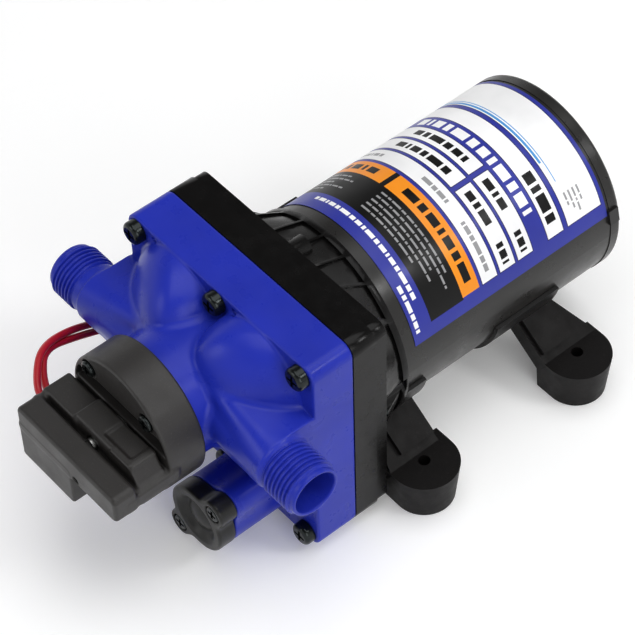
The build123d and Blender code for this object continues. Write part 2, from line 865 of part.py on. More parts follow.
def side_screws():
    """Two screws from the rear that hold the drive housing on the front plate."""
    screws = []
    for side in (-1, 1):
        x = side * side_screw_x
        head = disc(side_screw_head_radius, rear_plate_back,
                    rear_plate_back + side_screw_head_height, x, side_screw_z)
        shank = disc(side_screw_radius, rear_plate_back - side_screw_length,
                     rear_plate_back, x, side_screw_z)
        slot = block(x - side_screw_head_radius, x + side_screw_head_radius,
                     rear_plate_back + side_screw_head_height / 2,
                     rear_plate_back + side_screw_head_height + overrun,
                     side_screw_z - cross_slot_width / 2,
                     side_screw_z + cross_slot_width / 2)
        screws.append(head + shank - slot)
    return screws


# Wobble plate
def wobble_plate():
    body = disc(wobble_centre_radius, pad_back, wobble_back)
    body += disc(wobble_hub_radius, wobble_back, wobble_hub_back)
    for angle in piston_angles:
        x, z = polar(piston_pitch_radius, angle)
        body += disc(lobe_radius, pad_back, wobble_back, x, z)
        body += disc(pad_radius, pad_front, pad_back, x, z)
    for angle in piston_angles:
        x, z = polar(piston_pitch_radius, angle)
        body -= disc(piston_screw_radius + running_gap, pad_front - overrun,
                     flange_back - piston_thickness + piston_screw_head_height
                     + piston_screw_length + loose_gap, x, z)
    body -= disc(wobble_bearing_outer + press_gap, wobble_bearing_front,
                 wobble_hub_back + overrun)
    return tilted(body)


def inner_piston(angle):
    x, z = polar(piston_pitch_radius, angle)
    front = flange_back - piston_thickness
    body = disc(pad_radius, front, flange_back, x, z)
    body -= disc(piston_screw_radius + seat_gap, front - overrun,
                 flange_back + overrun, x, z)
    body -= taper(piston_screw_head + seat_gap, piston_screw_radius + seat_gap, front,
                  front + piston_screw_head_height, x, z)
    return tilted(body)


def piston_screw(angle):
    x, z = polar(piston_pitch_radius, angle)
    front = flange_back - piston_thickness
    head_back = front + piston_screw_head_height
    body = taper(piston_screw_head, piston_screw_radius, front, head_back, x, z)
    body += disc(piston_screw_radius, head_back, head_back + piston_screw_length, x, z)
    return tilted(body)


def eccentric_hub():
    """The hub on the shaft, with the slanted journal that makes the plate wobble."""
    body = disc(hub_radius, hub_front, hub_back)
    journal_front = wobble_bearing_front + loose_gap
    journal = disc(wobble_bearing_bore - press_gap, journal_front,
                   hub_front + wobble_bearing_bore / 2)
    body += tilted(journal)
    shaft_hole = disc(shaft_radius + press_gap, hub_front, hub_back + overrun)
    set_screw_y = (hub_front + hub_back) / 2
    set_hole = Pos(0, set_screw_y, hub_radius) * Cylinder(
        set_screw_radius + press_gap, 2 * (set_screw_depth + press_gap))
    return body - shaft_hole - set_hole


def hub_set_screw():
    middle = hub_radius - set_screw_depth / 2
    set_screw_y = (hub_front + hub_back) / 2
    return Pos(0, set_screw_y, middle) * Cylinder(set_screw_radius, set_screw_depth)


# Motor
def motor_screw_places():
    turn = 180 / motor_screw_count
    return [polar(motor_screw_circle, turn + 2 * turn * i) for i in range(motor_screw_count)]


def tie_bolt_places():
    return [polar(tie_bolt_pitch_radius, angle) for angle in (0, 180)]


def motor_can():
    body = ring(can_radius, can_inner, can_front, can_back)
    tab_back = end_bell_back - end_bell_edge_round
    for angle in crimp_tab_angles:
        tab = block(end_bell_radius, end_bell_radius + crimp_tab_thickness,
                    can_back - crimp_tab_root, tab_back,
                    -crimp_tab_width / 2, crimp_tab_width / 2)
        root = block(can_radius - can_wall / 2, end_bell_radius + crimp_tab_thickness,
                     can_back - crimp_tab_root, can_back,
                     -crimp_tab_width / 2, crimp_tab_width / 2)
        body += Rot(Y=-angle) * (tab + root)
    for z in (lead_outer_route[-1][2], lead_inner_route[-1][2]):
        body -= rod_x(lead_radius, -can_radius - overrun, -can_inner + overrun,
                      grommet_front + grommet_length - 2 * lead_radius, z)
    return body


def front_end_plate():
    body = disc(can_inner - seat_gap, can_front, end_plate_back)
    body -= disc(shaft_bearing_radius + press_gap, can_front - overrun,
                 end_plate_back + overrun)
    for x, z in motor_screw_places():
        body -= disc(motor_screw_radius + running_gap, can_front - overrun,
                     end_plate_back + overrun, x, z)
    for x, z in tie_bolt_places():
        body -= disc(tie_bolt_radius + running_gap, can_front - overrun,
                     end_plate_back + overrun, x, z)
    return body


def motor_screws():
    screws = []
    for x, z in motor_screw_places():
        head = disc(motor_screw_head_radius, drive_cavity_back - motor_screw_head_height,
                    drive_cavity_back, x, z)
        shank = disc(motor_screw_radius, drive_cavity_back, end_plate_back, x, z)
        screws.append(head + shank)
    return screws


def magnet(middle_angle):
    front = can_front + magnet_from_can_front
    outer = can_inner - press_gap
    shell = ring(outer, outer - magnet_thickness, front, front + magnet_length)
    return shell & wedge(can_radius + overrun, middle_angle - magnet_arc / 2,
                         middle_angle + magnet_arc / 2, front, front + magnet_length)


def armature_core():
    body = ring(core_radius, shaft_radius + press_gap, core_front, core_back)
    for i in range(slot_count):
        x, z = polar(slot_circle, 360 / slot_count * i)
        slot = disc(slot_radius, core_front - overrun, core_back + overrun,
                    slot_circle, 0)
        slot += block(slot_circle, core_radius + overrun, core_front - overrun,
                      core_back + overrun, -slot_neck / 2, slot_neck / 2)
        body -= Rot(Y=360 / slot_count * i) * slot
    return body


def armature_windings():
    """Copper bundles in the core's slots, joined by a rounded ring at each end."""
    body = ring(winding_end_outer, winding_end_inner, core_back, core_back + winding_end)
    body += ring(winding_end_outer, winding_end_inner, core_front - winding_end, core_front)
    for i in range(slot_count):
        x, z = polar(slot_circle, 360 / slot_count * i)
        body += disc(winding_radius, core_front - winding_end,
                     core_back + winding_end, x, z)
    return body


def commutator():
    body = ring(commutator_radius, shaft_radius + press_gap, commutator_front,
                commutator_back)
    for i in range(slot_count):
        groove = block(commutator_radius - commutator_groove_depth,
                       commutator_radius + overrun, commutator_front - overrun,
                       commutator_back + overrun, -commutator_groove / 2,
                       commutator_groove / 2)
        body -= Rot(Y=360 / slot_count * (i + 1 / 2)) * groove
    return body


def brush(side):
    start = commutator_radius + running_gap
    body = block(start, start + brush_length, brush_y - brush_width / 2,
                 brush_y + brush_width / 2, -brush_height / 2, brush_height / 2)
    return body if side > 0 else Rot(Y=180) * body


def brush_holder(side):
    """A folded metal box round the brush, closed at its outer end."""
    start = commutator_radius + 2 * brush_wall
    end = start + brush_holder_length
    half_y = brush_width / 2 + seat_gap
    half_z = brush_height / 2 + seat_gap
    body = block(start, end, brush_y - half_y - brush_wall, brush_y + half_y + brush_wall,
                 -half_z - brush_wall, half_z + brush_wall)
    body -= block(start - overrun, end - brush_wall, brush_y - half_y, brush_y + half_y,
                  -half_z, half_z)
    return body if side > 0 else Rot(Y=180) * body


def brush_spring(side):
    start = commutator_radius + running_gap + brush_length
    end = commutator_radius + brush_wall + brush_holder_length
    length = end - start
    body = coil(brush_spring_radius, brush_spring_wire, brush_spring_turns, 0, length)
    body = Pos(start, brush_y, 0) * Rot(Z=-90) * body
    return body if side > 0 else Rot(Y=180) * body


def brush_card():
    body = ring(can_inner - seat_gap, brush_card_inner, brush_card_front,
                brush_card_front + brush_card_thickness)
    for x, z in tie_bolt_places():
        body -= disc(tie_bolt_radius + seat_gap, brush_card_front - overrun,
                     brush_card_front + brush_card_thickness + overrun, x, z)
    return body


def end_bell():
    body = disc(end_bell_radius, can_back, end_bell_back)
    body = fillet(body.edges().sort_by(Axis.Y)[-1], end_bell_edge_round)
    body += disc(end_bell_boss_radius, can_back - end_bell_boss_height, can_back)
    body += ring(can_inner - seat_gap, can_inner - seat_gap - can_wall,
                 brush_card_front + brush_card_thickness, can_back)
    body -= disc(shaft_bearing_radius + press_gap, can_back - end_bell_boss_height
                 - overrun, rear_bearing_back)
    for x, z in tie_bolt_places():
        body -= disc(tie_bolt_radius + seat_gap, brush_card_front, end_bell_back, x, z)
        body -= disc(tie_bolt_head_radius + seat_gap, end_bell_back - tie_bolt_head_height,
                     end_bell_back + overrun, x, z)
    return body


def tie_bolts():
    bolts = []
    for x, z in tie_bolt_places():
        seat = end_bell_back - tie_bolt_head_height
        head = disc(tie_bolt_head_radius, seat, end_bell_back, x, z)
        slot = block(x - cross_slot_width / 2, x + cross_slot_width / 2,
                     end_bell_back - tie_bolt_head_height / 2, end_bell_back + overrun,
                     z - tie_bolt_head_radius, z + tie_bolt_head_radius)
        bolts.append(head + disc(tie_bolt_radius, can_front, seat, x, z) - slot)
    return bolts


def motor_label():
    """A thin printed sleeve over the top of the can."""
    label_back = label_front + label_length
    inner = can_radius + press_gap
    shell = ring(inner + label_thickness, inner, label_front, label_back)
    return shell & wedge(2 * can_radius, label_lower_angle, 180 - label_lower_angle,
                         label_front, label_back)


# Saddles and feet
def saddle(front, length, tab_middle):
    """A steel strap under the motor with a slanted tab on each side."""
    inner = can_radius + seat_gap
    band = ring(inner + saddle_thickness, inner, front, front + length)
    band = band & wedge(2 * can_radius, 180 - saddle_top_angle, 360 + saddle_top_angle,
                        front, front + length)
    run_x = tab_end[0] - tab_start[0]
    run_z = tab_end[1] - tab_start[1]
    reach = math.hypot(run_x, run_z)
    side_x = -run_z / reach * tab_thickness / 2
    side_z = run_x / reach * tab_thickness / 2
    points = [(tab_start[0] + side_x, tab_start[1] + side_z),
              (tab_end[0] + side_x, tab_end[1] + side_z),
              (tab_end[0] - side_x, tab_end[1] - side_z),
              (tab_start[0] - side_x, tab_start[1] - side_z)]
    tab = side_slab(points, tab_middle - tab_width / 2, tab_middle + tab_width / 2)
    return band + tab + mirror(tab, about=Plane.YZ)


def foot_outline(radius, height, y):
    """A D-shaped face: straight across the inner side and round the hole's axis."""
    centre_x = foot_pitch_x / 2
    plane = Plane(origin=(0, 0, height))
    line = Polyline((centre_x, y + radius), (foot_inner_x, y + radius),
                    (foot_inner_x, y - radius), (centre_x, y - radius))
    arc = ThreePointArc((centre_x, y - radius), (centre_x + radius, y),
                        (centre_x, y + radius))
    return plane * make_face(line + arc)


def leg_section(point, half_thickness, along_x, along_z, front, back):
    """A rectangle across the leg, at a point of its centre line."""
    across_x, across_z = -along_z * half_thickness, along_x * half_thickness
    top = (point[0] + across_x, point[1] + across_z)
    low = (point[0] - across_x, point[1] - across_z)
    corners = [(top[0], front, top[1]), (top[0], back, top[1]),
               (low[0], back, low[1]), (low[0], front, low[1])]
    return make_face(Polyline(*corners, close=True))


def foot(side, y, leg_start_span, leg_end_span, sleeve_span):
    """A rubber foot: a puck with its hole, and a slanted leg round the saddle's tab."""
    top = foot_thickness - axis_height
    puck = loft([foot_outline(foot_base_radius, -axis_height, y),
                 foot_outline(foot_radius, top, y)])
    end = (foot_inner_x + leg_thickness / 2, top - leg_thickness / 2)
    run_x, run_z = end[0] - leg_start[0], end[1] - leg_start[1]
    reach = math.hypot(run_x, run_z)
    along_x, along_z = run_x / reach, run_z / reach
    start_face = leg_section(leg_start, leg_thickness / 2, along_x, along_z,
                             y + leg_start_span[0], y + leg_start_span[1])
    end_face = leg_section(end, leg_thickness / 2, along_x, along_z,
                           y + leg_end_span[0], y + leg_end_span[1])
    body = puck + loft([start_face, end_face])
    sleeve_end = (leg_start[0] + run_x * sleeve_end_share,
                  leg_start[1] + run_z * sleeve_end_share)
    sleeve_faces = [leg_section(point, leg_thickness / 2 + sleeve_rise, along_x, along_z,
                                y + sleeve_span[0], y + sleeve_span[1])
                    for point in (leg_start, sleeve_end)]
    body += loft(sleeve_faces)
    body -= Pos(foot_pitch_x / 2, y, top) * Cylinder(foot_hole_radius, 3 * foot_thickness)
    return body if side > 0 else mirror(body, about=Plane.YZ)


def foot_room():
    """What the feet and the saddles stay clear of: the can, the collar and the bell."""
    room = disc(can_radius + seat_gap, can_front - overrun, end_bell_back)
    room += disc(collar_radius + seat_gap, bell_back, can_front + seat_gap)
    room += bell_envelope(seat_gap)
    return room


# Pressure switch
def switch_base():
    body = disc(switch_radius, switch_split, switch_rear, 0, switch_z)
    back = switch_rear - switch_base_depth / 2
    chamber = disc(switch_chamber_radius, switch_split - overrun, back, 0, switch_z)
    body -= chamber + disc(sensing_way_radius, back - overrun, switch_rear + overrun, 0,
                           switch_z)
    body -= disc(switch_seal_radius + seat_gap, switch_split - overrun,
                 switch_split + switch_seal_thickness / 2, 0, switch_z)
    for x, z in cover_screw_places():
        body -= disc(cover_screw_radius + seat_gap, switch_split - overrun,
                     switch_rear + overrun, x, z)
    return body


def switch_diaphragm():
    half = switch_seal_thickness / 2
    return disc(switch_seal_radius, switch_split - half, switch_split + half, 0, switch_z)


def cover_screw_places():
    return [(x, z) for z in (switch_z + corner_pocket_pitch, switch_z - corner_pocket_pitch)
            for x in (-corner_pocket_pitch, corner_pocket_pitch)]


def switch_cover():
    body = disc(switch_radius, switch_front, switch_split, 0, switch_z)
    body += switch_block()
    for x, z in cover_screw_places():
        pocket_back = switch_front + corner_pocket_depth
        body -= disc(corner_pocket_radius, terminal_rear, pocket_back, x, z)
        body -= disc(cover_screw_radius + seat_gap, switch_front, switch_split + overrun,
                     x, z)
    return body - switch_hollows()


def switch_block():
    """The raised block, the groove, the front bar and the terminal block."""
    low = block(block_left, bar_right, bar_rear, switch_front, block_bottom, groove_floor)
    low += block(block_left, bar_right, block_front, switch_front, block_bottom, switch_z)
    low = low & disc(bar_right, bar_rear, switch_front, 0, switch_z)
    raised = block(block_step_x, block_right, block_front, switch_front,
                   block_bottom, block_top)
    raised += block(block_left, block_step_x, block_front, switch_front,
                    block_bottom, block_low_top)
    bar = block(block_left, bar_right, bar_front, bar_rear, bar_bottom, bar_top)
    bar = fillet(bar.edges().filter_by(Axis.Y).sort_by(Axis.X)[-2:], block_edge_round)
    terminal = block(block_left, terminal_right, bar_front, terminal_rear,
                     terminal_bottom, bar_bottom + block_edge_round)
    return low + raised + bar + terminal


def switch_hollows():
    """The chambers for the plunger, the spring, the small switch and the terminals."""
    cuts = disc(switch_seal_radius + seat_gap, switch_split - switch_seal_thickness / 2,
                switch_split + overrun, 0, switch_z)
    cuts += disc(switch_chamber_radius, switch_chamber_front, switch_split, 0, switch_z)
    cuts += disc(spring_bore_radius, block_front + adjuster_radius,
                 switch_chamber_front + overrun, 0, switch_z)
    cuts += disc(adjuster_radius + running_gap, block_front - overrun, switch_front,
                 0, switch_z)
    cuts += micro_switch_box(seat_gap, overrun)
    for i, route in enumerate((lead_outer_route, lead_inner_route)):
        start = route[0]
        cuts += rod_x(lead_radius + lead_hole_gap, block_left - overrun,
                      start[0] + terminal_thickness, start[1], start[2])
        cuts += terminal_box(i, seat_gap)
    return cuts


def micro_switch_box(gap, extra):
    back = switch_chamber_front
    front = back - micro_switch_depth
    return block(micro_switch_x - micro_switch_width / 2 - gap,
                 micro_switch_x + micro_switch_width / 2 + gap,
                 front - gap, back + extra,
                 micro_switch_z - micro_switch_height / 2 - gap,
                 micro_switch_z + micro_switch_height / 2 + gap)


def terminal_box(index, gap):
    """A brass terminal that stands behind a lead's end."""
    route = (lead_outer_route, lead_inner_route)[index]
    x, y, z = route[0]
    return block(x, x + terminal_thickness + gap, y - lead_radius - gap,
                 y + lead_radius + gap, z - terminal_length / 2 - gap, z + lead_radius + gap)


def micro_switch():
    """The small switch, with its button towards the plunger's plate."""
    button = disc(micro_button_radius, switch_chamber_front,
                  switch_chamber_front + micro_button_height, micro_button_x,
                  micro_switch_z)
    return micro_switch_box(0, 0) + button


def plunger():
    """The plate between the diaphragm and the spring, with a post inside the spring."""
    body = disc(plunger_radius, plunger_front, plunger_back, 0, switch_z)
    body += disc(plunger_post_radius, plunger_front - plunger_post_height, plunger_front,
                 0, switch_z)
    return body


def spring_seat():
    return disc(spring_seat_radius, spring_seat_back - spring_seat_thickness,
                spring_seat_back, 0, switch_z)


def adjusting_screw():
    front = block_front - adjuster_stand_out
    body = disc(adjuster_radius, front, front + adjuster_length, 0, switch_z)
    body -= block(-adjuster_radius, adjuster_radius, front - overrun,
                  front + adjuster_slot_depth, switch_z - adjuster_slot_width / 2,
                  switch_z + adjuster_slot_width / 2)
    return body


def cover_screws():
    screws = []
    for x, z in cover_screw_places():
        seat = switch_front + corner_pocket_depth
        screws.append(cross_screw(cover_screw_head_radius, cover_screw_head_height,
                                  cover_screw_head_height / 3, cover_screw_radius,
                                  cover_screw_length, x, z, seat))
    return screws


# Bypass valve
def bypass_cover():
    body = bypass_outline(bypass_radius, bypass_ear_radius, bypass_cover_front,
                          bypass_front)
    body -= ring(bypass_dish_radius, bypass_dish_radius / 2, bypass_cover_front - overrun,
                 bypass_cover_front + bypass_dish_depth, bypass_x, bypass_z)
    inner_front = bypass_cover_front + bypass_dish_depth * 2
    body -= disc(bypass_bore_radius, inner_front, bypass_front + overrun,
                 bypass_x, bypass_z)
    for x, z in bypass_ears():
        seat = bypass_cover_front + bypass_screw_head_height
        body -= disc(bypass_screw_head_radius + seat_gap, bypass_cover_front - overrun,
                     seat, x, z)
        body -= disc(bypass_screw_radius + seat_gap, bypass_cover_front - overrun,
                     bypass_front + overrun, x, z)
    return body


def bypass_screws():
    screws = []
    for x, z in bypass_ears():
        seat = bypass_cover_front + bypass_screw_head_height
        screws.append(cross_screw(bypass_screw_head_radius, bypass_screw_head_height,
                                  bypass_screw_head_height / 3, bypass_screw_radius,
                                  bypass_screw_length, x, z, seat))
    return screws


def bypass_poppet():
    back = bypass_bore_floor
    front = back - bypass_poppet_thickness
    body = disc(bypass_poppet_radius, front, back, bypass_x, bypass_z)
    body += disc(bypass_poppet_post, front - bypass_poppet_post_height, front,
                 bypass_x, bypass_z)
    return body


def bypass_spring():
    front = bypass_cover_front + bypass_dish_depth * 2
    back = bypass_bore_floor - bypass_poppet_thickness
    body = coil(bypass_spring_radius + bypass_spring_wire, bypass_spring_wire,
                bypass_spring_turns, front, back)
    return Pos(bypass_x, 0, bypass_z) * body


# Leads
def lead(route):
    """A lead's tube along straight runs joined by arcs as large as the runs allow."""
    points = [Vector(*point) for point in route]
    radii = []
    for before, corner, after in zip(points, points[1:], points[2:]):
        first, second = corner - before, after - corner
        half_turn = math.radians(first.get_angle(second)) / 2
        shorter = min(first.length, second.length)
        radii.append(lead_arc_share * shorter / math.tan(half_turn))
    path = FilletPolyline(*points, radius=radii)
    section = Plane(origin=path @ 0, z_dir=path % 0) * Circle(lead_radius)
    tube = sweep(section, path=path)
    expected = math.pi * lead_radius ** 2 * path.length
    print("lead length", round(path.length, 1), "radii", [round(r, 1) for r in radii],
          "volume ratio", round(tube.volume / expected, 4))
    return tube


def lead_grommet():
    """A moulded hood on the can's left side, with a hole for each lead."""
    front, back = grommet_front, grommet_front + grommet_length
    left = -can_radius - grommet_stand_out
    body = block(left, -can_inner, front, back, -grommet_height / 2, grommet_height / 2)
    body = fillet(body.edges().filter_by(Axis.Y).sort_by(Axis.X)[:2], lead_radius)
    body -= disc(can_radius, front - overrun, back + overrun)
    for route in (lead_outer_route, lead_inner_route):
        x, y, z = route[-1]
        body -= disc(lead_radius + lead_hole_gap, front - overrun, y, x, z)
    return body


def supply_grommet():
    """The motor's cable gland, with two empty holes."""
    body = rod_x(supply_grommet_radius, -can_radius - supply_grommet_stand_out,
                 -can_inner, supply_grommet_y, supply_grommet_z)
    body -= disc(can_radius, supply_grommet_y - 2 * supply_grommet_radius,
                 supply_grommet_y + 2 * supply_grommet_radius)
    for side in (-1, 1):
        body -= rod_x(lead_radius, -2 * can_radius, -can_radius - supply_grommet_stand_out
                      / 4, supply_grommet_y + side * supply_hole_pitch / 2,
                      supply_grommet_z)
    return body


# Written files
def save(name, shape):
    """Move a piece, or a set of like pieces, to the part's own frame and write it."""
    pieces = shape if isinstance(shape, (list, tuple)) else [shape]
    solids = []
    for piece in pieces:
        moved = Pos(0, -foot_centre_y, axis_height) * piece
        solids += moved.solids()
    whole = solids[0] if len(solids) == 1 else Compound(children=solids)
    whole.label = name
    export_step(whole, "parts/" + name + ".step")


def main():
    save("pump_head", pump_head())
    save("head_screws", head_screws())
    save("valve_plate", valve_plate())
    save("inlet_valves", [inlet_valve(angle) for angle in piston_angles])
    save("inner_pistons", [inner_piston(angle) for angle in piston_angles])
    save("piston_screws", [piston_screw(angle) for angle in piston_angles])
    save("outlet_valve", outlet_valve())
    save("diaphragm", diaphragm())
    save("front_plate", front_plate())
    save("drive_housing", drive_housing())
    save("side_screws", side_screws())
    save("wobble_plate", wobble_plate())
    save("eccentric_hub", eccentric_hub())
    save("hub_set_screw", hub_set_screw())
    outer, inner, balls = bearing(wobble_bearing_outer, wobble_bearing_bore,
                                  wobble_bearing_width, wobble_bearing_front)
    save("wobble_bearing_outer", tilted(outer))
    save("wobble_bearing_inner", tilted(inner))
    save("wobble_bearing_balls", [tilted(ball) for ball in balls])
    ends = {"front": drive_cavity_back, "rear": rear_bearing_front}
    for name, front in ends.items():
        outer, inner, balls = bearing(shaft_bearing_radius, shaft_radius + press_gap,
                                      shaft_bearing_width, front)
        save(name + "_bearing_outer", [outer] + balls)
        save(name + "_bearing_inner", inner)
    save("motor_shaft", disc(shaft_radius, hub_front + loose_gap, shaft_back))
    save("motor_can", motor_can())
    save("front_end_plate", front_end_plate())
    save("motor_screws", motor_screws())
    save("magnets", [magnet(90), magnet(270)])
    save("armature_core", armature_core())
    save("armature_windings", armature_windings())
    save("commutator", commutator())
    save("brushes", [brush(side) for side in (1, -1)])
    save("brush_holders", [brush_holder(side) for side in (1, -1)])
    save("brush_springs", [brush_spring(side) for side in (1, -1)])
    save("brush_card", brush_card())
    save("end_bell", end_bell())
    save("tie_bolts", tie_bolts())
    save("motor_label", motor_label())
    front_y = foot_centre_y - foot_pitch_y / 2
    rear_y = foot_centre_y + foot_pitch_y / 2
    saddles = {
        "front": saddle(front_saddle_front, front_saddle_length,
                        front_y + sum(front_sleeve) / 2),
        "rear": saddle(rear_saddle_front, rear_saddle_length,
                       rear_y + sum(rear_sleeve) / 2),
    }
    spans = {"front": (front_y, front_leg_start, front_leg_end, front_sleeve),
             "rear": (rear_y, rear_leg_start, rear_leg_end, rear_sleeve)}
    room = foot_room()
    for name, foot_spans in spans.items():
        strap = saddles[name] - room
        save(name + "_saddle", strap)
        for side_name, side in (("left", -1), ("right", 1)):
            body = foot(side, *foot_spans) - room - strap
            save("foot_" + name + "_" + side_name, body)
    save("switch_base", switch_base())
    save("switch_diaphragm", switch_diaphragm())
    save("switch_cover", switch_cover())
    save("switch_cover_screws", cover_screws())
    save("micro_switch", micro_switch())
    save("switch_plunger", plunger())
    switch_coil = coil(switch_spring_radius, switch_spring_wire, switch_spring_turns,
                       spring_seat_back, plunger_front)
    save("switch_spring", Pos(0, 0, switch_z) * switch_coil)
    save("spring_seat", spring_seat())
    save("pressure_adjusting_screw", adjusting_screw())
    save("switch_terminals", [terminal_box(i, 0) for i in (0, 1)])
    save("bypass_cover", bypass_cover())
    save("bypass_cover_screws", bypass_screws())
    save("bypass_poppet", bypass_poppet())
    save("bypass_spring", bypass_spring())
    save("switch_lead_outer", lead(lead_outer_route))
    save("switch_lead_inner", lead(lead_inner_route))
    save("lead_grommet", lead_grommet())
    save("supply_grommet", supply_grommet())


main()
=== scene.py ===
import math

import bpy
import numpy as np
from mathutils import Matrix, Vector


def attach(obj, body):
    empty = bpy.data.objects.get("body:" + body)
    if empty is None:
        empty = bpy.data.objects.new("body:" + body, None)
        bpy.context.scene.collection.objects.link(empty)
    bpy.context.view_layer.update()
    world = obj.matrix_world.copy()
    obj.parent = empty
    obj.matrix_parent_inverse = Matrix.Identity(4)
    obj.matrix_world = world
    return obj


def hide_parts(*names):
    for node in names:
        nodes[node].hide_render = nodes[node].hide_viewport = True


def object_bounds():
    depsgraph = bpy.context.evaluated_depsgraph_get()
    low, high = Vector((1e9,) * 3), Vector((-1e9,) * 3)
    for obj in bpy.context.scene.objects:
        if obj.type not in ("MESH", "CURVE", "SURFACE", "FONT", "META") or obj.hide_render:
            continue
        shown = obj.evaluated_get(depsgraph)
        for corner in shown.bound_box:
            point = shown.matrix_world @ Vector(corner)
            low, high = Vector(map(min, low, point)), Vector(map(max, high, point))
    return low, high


# The looks of a caravan's 12 V diaphragm water pump, dressed round its CAD frame
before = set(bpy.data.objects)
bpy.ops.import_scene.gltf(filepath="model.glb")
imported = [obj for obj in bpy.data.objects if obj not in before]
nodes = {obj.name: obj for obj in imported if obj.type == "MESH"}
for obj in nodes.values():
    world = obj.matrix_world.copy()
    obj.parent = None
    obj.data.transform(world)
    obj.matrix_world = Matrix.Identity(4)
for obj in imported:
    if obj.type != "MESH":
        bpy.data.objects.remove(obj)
cad_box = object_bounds()

# Places are written in millimetres from the motor's axis, as the part's source draws
# them, and moved here to the part's own origin, in metres.
SHIFT = np.array([0.0, -84.0, 51.0])


def at(points):
    """Points in millimetres from the motor's axis, as metres in the part's frame."""
    return (np.asarray(points, float) + SHIFT) / 1000


# Camera, fitted to the photograph: angles in degrees, its place in metres, and the lens
# and sensor in millimetres
CAMERA_AZIMUTH, CAMERA_ELEVATION, CAMERA_ROLL = 51.14, 49.34, -2.07
CAMERA_PLACE = (0.45146, -0.40531, 0.72710)
CAMERA_LENS, CAMERA_SENSOR = 143.34, 36


def make_camera():
    """A camera at the photograph's viewing angle."""
    azimuth, elevation, roll = (math.radians(angle) for angle in
                                (CAMERA_AZIMUTH, CAMERA_ELEVATION, CAMERA_ROLL))
    right = Vector((math.cos(azimuth), math.sin(azimuth), 0))
    back = Vector((math.sin(azimuth) * math.cos(elevation),
                   -math.cos(azimuth) * math.cos(elevation), math.sin(elevation)))
    up = back.cross(right)
    x_axis = math.cos(roll) * right + math.sin(roll) * up
    y_axis = math.cos(roll) * up - math.sin(roll) * right
    turn = Matrix((x_axis, y_axis, back)).transposed().to_4x4()
    camera = bpy.data.cameras.new("camera")
    camera.sensor_width = CAMERA_SENSOR
    camera.lens = CAMERA_LENS
    camera.clip_start = 0.01
    camera.clip_end = 20
    seen = bpy.data.objects.new("camera", camera)
    seen.matrix_world = Matrix.Translation(CAMERA_PLACE) @ turn
    bpy.context.scene.collection.objects.link(seen)
    bpy.context.scene.camera = seen


make_camera()


# Colours and materials
def colour(red, green, blue):
    """A screen colour from 0 to 255 as the linear one that a shader takes."""
    def linear(part):
        part = part / 255
        return part / 12.92 if part <= 0.04045 else ((part + 0.055) / 1.055) ** 2.4
    return (linear(red), linear(green), linear(blue), 1)


class Maker:
    """A material's node tree, with short calls to add and join nodes."""

    def __init__(self, name):
        self.material = bpy.data.materials.new(name)
        self.material.use_nodes = True
        self.tree = self.material.node_tree
        self.shader = self.tree.nodes["Principled BSDF"]
        self.place = self.add("ShaderNodeTexCoord").outputs["Object"]

    def add(self, kind, **values):
        """A new node with these settings."""
        node = self.tree.nodes.new(kind)
        for key, value in values.items():
            setattr(node, key, value)
        return node

    def join(self, source, target):
        self.tree.links.new(source, target)

    def noise(self, scale, detail=2, stretch=None, rough=0.5):
        """Noise in the piece's own space, with about that many waves to the metre."""
        node = self.add("ShaderNodeTexNoise")
        node.inputs["Scale"].default_value = scale
        node.inputs["Detail"].default_value = detail
        node.inputs["Roughness"].default_value = rough
        place = self.place
        if stretch:
            mapping = self.add("ShaderNodeMapping")
            mapping.inputs["Scale"].default_value = stretch
            self.join(place, mapping.inputs["Vector"])
            place = mapping.outputs["Vector"]
        self.join(place, node.inputs["Vector"])
        return node.outputs["Fac"]

    def ramp(self, value, *stops):
        """A colour for the value, from stops of a position and a colour."""
        node = self.add("ShaderNodeValToRGB")
        ramp = node.color_ramp
        while len(ramp.elements) < len(stops):
            ramp.elements.new(0.5)
        for element, (position, tint) in zip(ramp.elements, stops):
            element.position = position
            element.color = tint
        self.join(value, node.inputs["Fac"])
        return node.outputs["Color"]

    def spread(self, value, low, high, start=0.3, end=0.7):
        """The value from start to end, stretched to run from low to high."""
        node = self.add("ShaderNodeMapRange")
        for name, number in (("From Min", start), ("From Max", end),
                             ("To Min", low), ("To Max", high)):
            node.inputs[name].default_value = number
        self.join(value, node.inputs["Value"])
        return node.outputs["Result"]

    def mix(self, share, first, second):
        """Two colours, each a plain one or a socket, mixed by the share of the second."""
        node = self.add("ShaderNodeMix", data_type="RGBA")
        self.join(share, node.inputs["Factor"])
        for socket, value in ((node.inputs[6], first), (node.inputs[7], second)):
            if isinstance(value, tuple):
                socket.default_value = value
            else:
                self.join(value, socket)
        return node.outputs[2]

    def bump(self, *layers):
        """Layers of a height and its depth in metres, from the widest to the finest."""
        normal = None
        for height, depth in layers:
            node = self.add("ShaderNodeBump")
            node.inputs["Strength"].default_value = 1.0
            node.inputs["Distance"].default_value = depth
            self.join(height, node.inputs["Height"])
            if normal is not None:
                self.join(normal, node.inputs["Normal"])
            normal = node.outputs["Normal"]
        self.join(normal, self.shader.inputs["Normal"])

    def set(self, **values):
        """Plain values on the shader's own sockets."""
        for name, value in values.items():
            self.shader.inputs[name.replace("_", " ")].default_value = value


def shade(base, factor):
    """The same colour, darker or lighter."""
    return tuple(min(1, part * factor) for part in base[:3]) + (1,)


# Waves to the metre, depths in metres, and the dust's share and colours
GRAIN_SCALE = 2600
SCRATCH_DEPTH = 0.00001
RUBBER_WAVE, RUBBER_GRAIN = 0.00012, 0.00004
RUBBER_DUST_SHARE = 0.04
PLASTIC_DUST, RUBBER_DUST = colour(150, 148, 145), colour(130, 125, 120)


